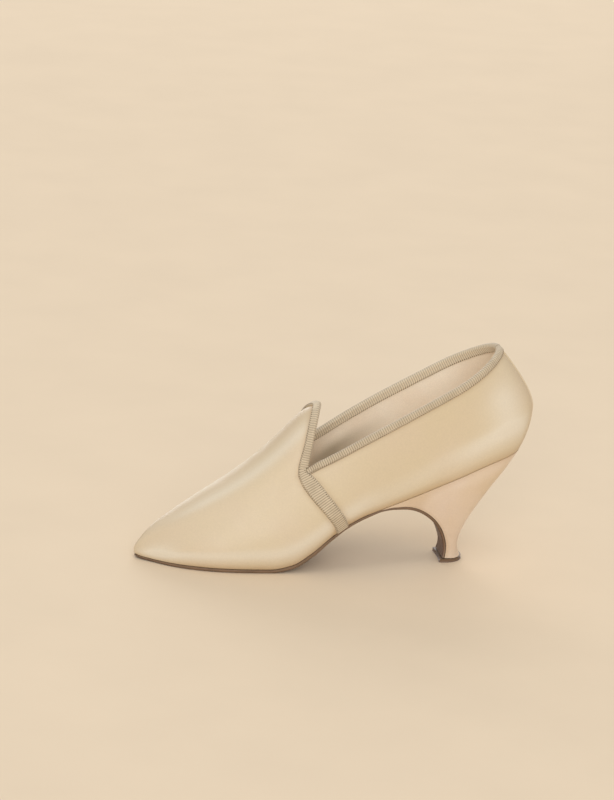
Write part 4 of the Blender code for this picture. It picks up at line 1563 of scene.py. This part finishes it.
# %% Sections of the heel
HEEL_FRONT_X = 150.0
HEEL_TIP_X = 146.0
HEEL_SECTIONS = 17
SIDE_STEPS = 20
ROUND_STEPS = 32
behind = np.stack([sole_x, sole_z], axis=1) + sole_up * (sole_thick + GAP)[:, None]
heel_rows = behind[:, 0] > HEEL_FRONT_X
front_line, front_half = behind[heel_rows][::-1], sole_half[heel_rows][::-1]
front_run = run_length(front_line)
front_run = front_run / front_run[-1]
shares = np.linspace(0, HEEL.rows[-1, 0], HEEL_SECTIONS)
front = np.stack([np.interp(shares, front_run, front_line[:, k]) for k in (0, 1)], axis=1)
half_at_front = np.interp(shares, front_run, front_half)[:, None]
back_z, side_half, round_share = (HEEL.read(name, shares)[:, None] for name in HEEL.columns[1:])
back = np.concatenate([HEEL_BACK.read("x", back_z), back_z], axis=1)
side_q = np.linspace(0, 1, SIDE_STEPS, endpoint=False)[None, :]
turn = np.linspace(0, np.pi / 2, ROUND_STEPS + 1)[None, :]
q = np.concatenate([(1 - round_share) * side_q, 1 - round_share + round_share * np.sin(turn)], axis=1)
half_widths = np.concatenate(
    [half_at_front + (side_half - half_at_front) * side_q, side_half * np.cos(turn)], axis=1
)
line = front[:, None, :] + (back - front)[:, None, :] * q[..., None]
sections = stack(line[..., 0], -half_widths, line[..., 1])
seat_stations = even_steps(
    (HEEL_TIP_X, FAN_X, SIDE_STEPS + 1), (FAN_X, CENTRE_BACK, ROUND_STEPS + 1)
)
seat = feather(seat_stations) - (0, 0, GAP)
sections = np.concatenate([sections, seat[None]])
sections[:, -1, 1] = 0
print(len(sections), "sections of", sections.shape[1], "points on each half of the heel")

# %% [markdown]
# A curve runs through the sections, and the rows of the upper half are then averaged with their
# neighbours a few times, as a rasp does. A painted shade makes the cover tanner near the lift, along
# the breast and under the seat. Three strips close the block where the sole, the lift and the upper
# hide it.

# %% The heel
HEEL_FINE = 5
SOFTEN_PASSES = 24
SOFTEN_FROM = 30
LIFT_TAN = 0.55
LIFT_TAN_UP_TO = (4.0, 30.0)
BREAST_TAN = 0.35
BREAST_TAN_UP_TO = (0.0, 3.5)
SEAT_TAN = 0.45
SEAT_TAN_DOWN_TO = (0.0, 4.0)
HIDDEN_TAN = 0.5
heel_grid = through(sections, np.linspace(0, HEEL_SECTIONS, HEEL_SECTIONS * HEEL_FINE + 1))
for _ in range(SOFTEN_PASSES):
    means = (heel_grid[:-2] + 2 * heel_grid[1:-1] + heel_grid[2:]) / 4
    heel_grid[SOFTEN_FROM:-1] = means[SOFTEN_FROM - 1 :]
height = heel_grid[..., 2]
from_breast = np.linalg.norm(heel_grid - heel_grid[:, :1], axis=-1)
# A painted shade near the lift, along the breast and under the seat.
tan = LIFT_TAN * fade(*LIFT_TAN_UP_TO, height) + BREAST_TAN * fade(*BREAST_TAN_UP_TO, from_breast)
tan = np.clip(tan + SEAT_TAN * fade(*SEAT_TAN_DOWN_TO, height[-1] - height), 0, 1)
heel = Skin().add_both(heel_grid, tan=tan)
for line in (heel_grid[:, 0], heel_grid[0], heel_grid[-1]):
    heel.add(np.stack([line, far_side(line)]), tan=HIDDEN_TAN)
heel.piece("heel_block", heel_cover, "heel_cover", "heel", sharp=SHARP_ANGLE)

# %% [markdown]
# ## The top lift
# The lift is the piece that the heel walks on: a D of sole leather with a hollow front, two thin layers
# thick. Its outline is drawn once and carried up a profile that rounds both edges and cuts a fine
# groove between the layers.

# %% The top lift
LIFT_FRONT_X = 188.0
LIFT_BACK_X = 202.8
LIFT_HALF = 10.4
LIFT_HOLLOW = 0.9
LIFT_CORNER_X = 192.0
LIFT_FRONT_STEPS = 25
LIFT_CORNER_STEPS = 7
LIFT_ROUND_STEPS = 65
LIFT_FACE = (0.05, 0.3)
LIFT_WEAR = 0.8
LIFT_PROFILE = np.array(
    [
        # inset, height
        (0.5, 0.0),
        (0.15, 0.1),
        (0.0, 0.35),
        (0.0, 0.9),
        (0.2, 1.0),
        (0.0, 1.1),
        (0.0, 1.75),
        (0.1, 1.93),
        (0.35, 2.0),
    ]
)
across = np.linspace(-1, 1, LIFT_FRONT_STEPS)[1:-1]
front_edge = stack(LIFT_FRONT_X + LIFT_HOLLOW * (1 - across**2), LIFT_HALF * across, 0)
turn = np.linspace(0, np.pi, LIFT_ROUND_STEPS)
sides = stack(LIFT_CORNER_X + (LIFT_BACK_X - LIFT_CORNER_X) * np.sin(turn), LIFT_HALF * np.cos(turn), 0)
corner_x = np.linspace(LIFT_FRONT_X, LIFT_CORNER_X, LIFT_CORNER_STEPS)[:-1]
corners = stack(corner_x, LIFT_HALF, 0)
outline = np.concatenate([front_edge, corners, sides[:-1], far_side(corners[::-1])])
outward = unit(np.cross(np.roll(outline, -1, 0) - np.roll(outline, 1, 0), (0, 0, 1.0)))
lift_rings = outline[None] - outward[None] * LIFT_PROFILE[:, :1, None]
lift_rings = lift_rings + np.array([0, 0, 1.0]) * LIFT_PROFILE[:, 1:, None]
walking = fade(*LIFT_FACE, LIFT_PROFILE[:, 1:])
lift = Skin().add(lift_rings, closed=True, face=walking, wear=walking * LIFT_WEAR)
lift.add(fan_of(lift_rings[0]), closed=True, face=1.0, wear=LIFT_WEAR)
lift.add(fan_of(lift_rings[-1]), closed=True)
lift.piece("top_lift_leather", sole_leather, "sole_leather", "top_lift", sharp=SHARP_ANGLE)

# %% [markdown]
# ## Floor and light
# The slipper stands on a plain floor of pale paper colour. The light is a studio's: a soft sky all
# round, a wide soft box in front and to the left, one behind that lights the floor under the arch, and
# one overhead that lays the long highlight along the vamp. Small lamps would draw hard edges that the
# satin leather does not show.

# %% Paper floor, soft boxes and sky
FLOOR_PAPER = shade(229, 210, 184)
FLOOR_HALF = 20.0
FLOOR_DROP = 5e-5
SKY_COLOUR = (1.0, 0.985, 0.96, 1.0)
SKY_STRENGTH = 0.61
SOFT_BOXES = (
    # name, place, target, size, power
    ("front_soft_box", (-0.9, -6.2, 3.2), (0, 0, 0.06), 5.0, 195.0),
    ("rear_soft_box", (0.6, 5.5, 2.2), (0, 0, 0.0), 5.0, 175.0),
    ("top_soft_box", (0.2, -0.6, 2.6), (0, 0, 0.05), 0.9, 7.4),
)


def paper_finish(name, colour):
    """Paper colour with faint clouds."""
    made, tree, shader = new_finish(name, Roughness=0.9, Specular_IOR_Level=0.1)
    clouds = noise(tree, scale=14.0, detail=4.0)
    feed(tree, shader, Base_Color=toned(tree, colour, clouds, 0.985, 1.015))
    return made


def soft_box(name, place, target, size, power):
    """Square lamp that looks at a target: its local z axis points away from it."""
    lamp = bpy.data.lights.new(name, "AREA")
    lamp.shape, lamp.size, lamp.energy = "SQUARE", size, power
    made = bpy.data.objects.new(name, lamp)
    back_way = np.array(place, float) - np.array(target, float)
    right_way = unit(np.cross((0, 0, 1.0), back_way))
    axes = np.stack([right_way, unit(np.cross(back_way, right_way)), unit(back_way)], axis=1)
    turned = np.eye(4)
    turned[:3, :3], turned[:3, 3] = axes, place
    made.matrix_world = Matrix(turned.tolist())
    bpy.context.scene.collection.objects.link(made)


floor_mesh = bpy.data.meshes.new("paper_floor")
corner_signs = ((-1, -1), (1, -1), (1, 1), (-1, 1))
floor_corners = [(a * FLOOR_HALF, b * FLOOR_HALF, -FLOOR_DROP) for a, b in corner_signs]
floor_mesh.from_pydata(floor_corners, [], [(0, 1, 2, 3)])
floor_mesh.materials.append(paper_finish("paper_cream", FLOOR_PAPER))
floor = bpy.data.objects.new("paper_floor", floor_mesh)
bpy.context.scene.collection.objects.link(floor)
sky = bpy.data.worlds.new("studio_sky")
sky.use_nodes = True
background = sky.node_tree.nodes["Background"]
background.inputs["Color"].default_value = SKY_COLOUR
background.inputs["Strength"].default_value = SKY_STRENGTH
bpy.context.scene.world = sky
for box in SOFT_BOXES:
    soft_box(*box)
bpy.context.scene.view_settings.view_transform = "Standard"
print(len(SOFT_BOXES), "soft boxes and a sky")

# %% [markdown]
# ## The camera
# The view is nearly square to the shoe's side, a little from the toe and from above, and the picture is
# turned by a few degrees. The three directions of the camera are worked out from these angles, so no
# constraint or empty is needed. A point over the ball is kept at a known place in the picture, which
# fixes where the camera stands.

# %% Camera at the picture's angle
AZIMUTH, ELEVATION, ROLL = np.radians([-11.19, 18.0, 3.934])
DISTANCE = 2.0
PICTURE_HEIGHT = 800
PIXEL = 0.607 * MM
SENSOR = 36.0
KEPT_POINT = np.array([0.0, 0.0, 0.060])
KEPT_RIGHT, KEPT_DOWN = 27.35, 63.9
right = np.array([np.cos(AZIMUTH), np.sin(AZIMUTH), 0.0])
back = np.array(
    [
        np.sin(AZIMUTH) * np.cos(ELEVATION),
        -np.cos(AZIMUTH) * np.cos(ELEVATION),
        np.sin(ELEVATION),
    ]
)
up = np.cross(back, right)
right, up = (
    np.cos(ROLL) * right + np.sin(ROLL) * up,
    np.cos(ROLL) * up - np.sin(ROLL) * right,
)
axis_point = KEPT_POINT - right * KEPT_RIGHT * PIXEL + up * KEPT_DOWN * PIXEL
pose = np.eye(4)
pose[:3, :3] = np.stack([right, up, back], axis=1)
pose[:3, 3] = axis_point + back * DISTANCE
lens = bpy.data.cameras.new("picture_camera")
lens.sensor_width = SENSOR
lens.lens = SENSOR * DISTANCE / (PICTURE_HEIGHT * PIXEL)
camera = bpy.data.objects.new("picture_camera", lens)
camera.matrix_world = Matrix(pose.tolist())
bpy.context.scene.collection.objects.link(camera)
bpy.context.scene.camera = camera
print("focal length", round(lens.lens, 1), "mm")
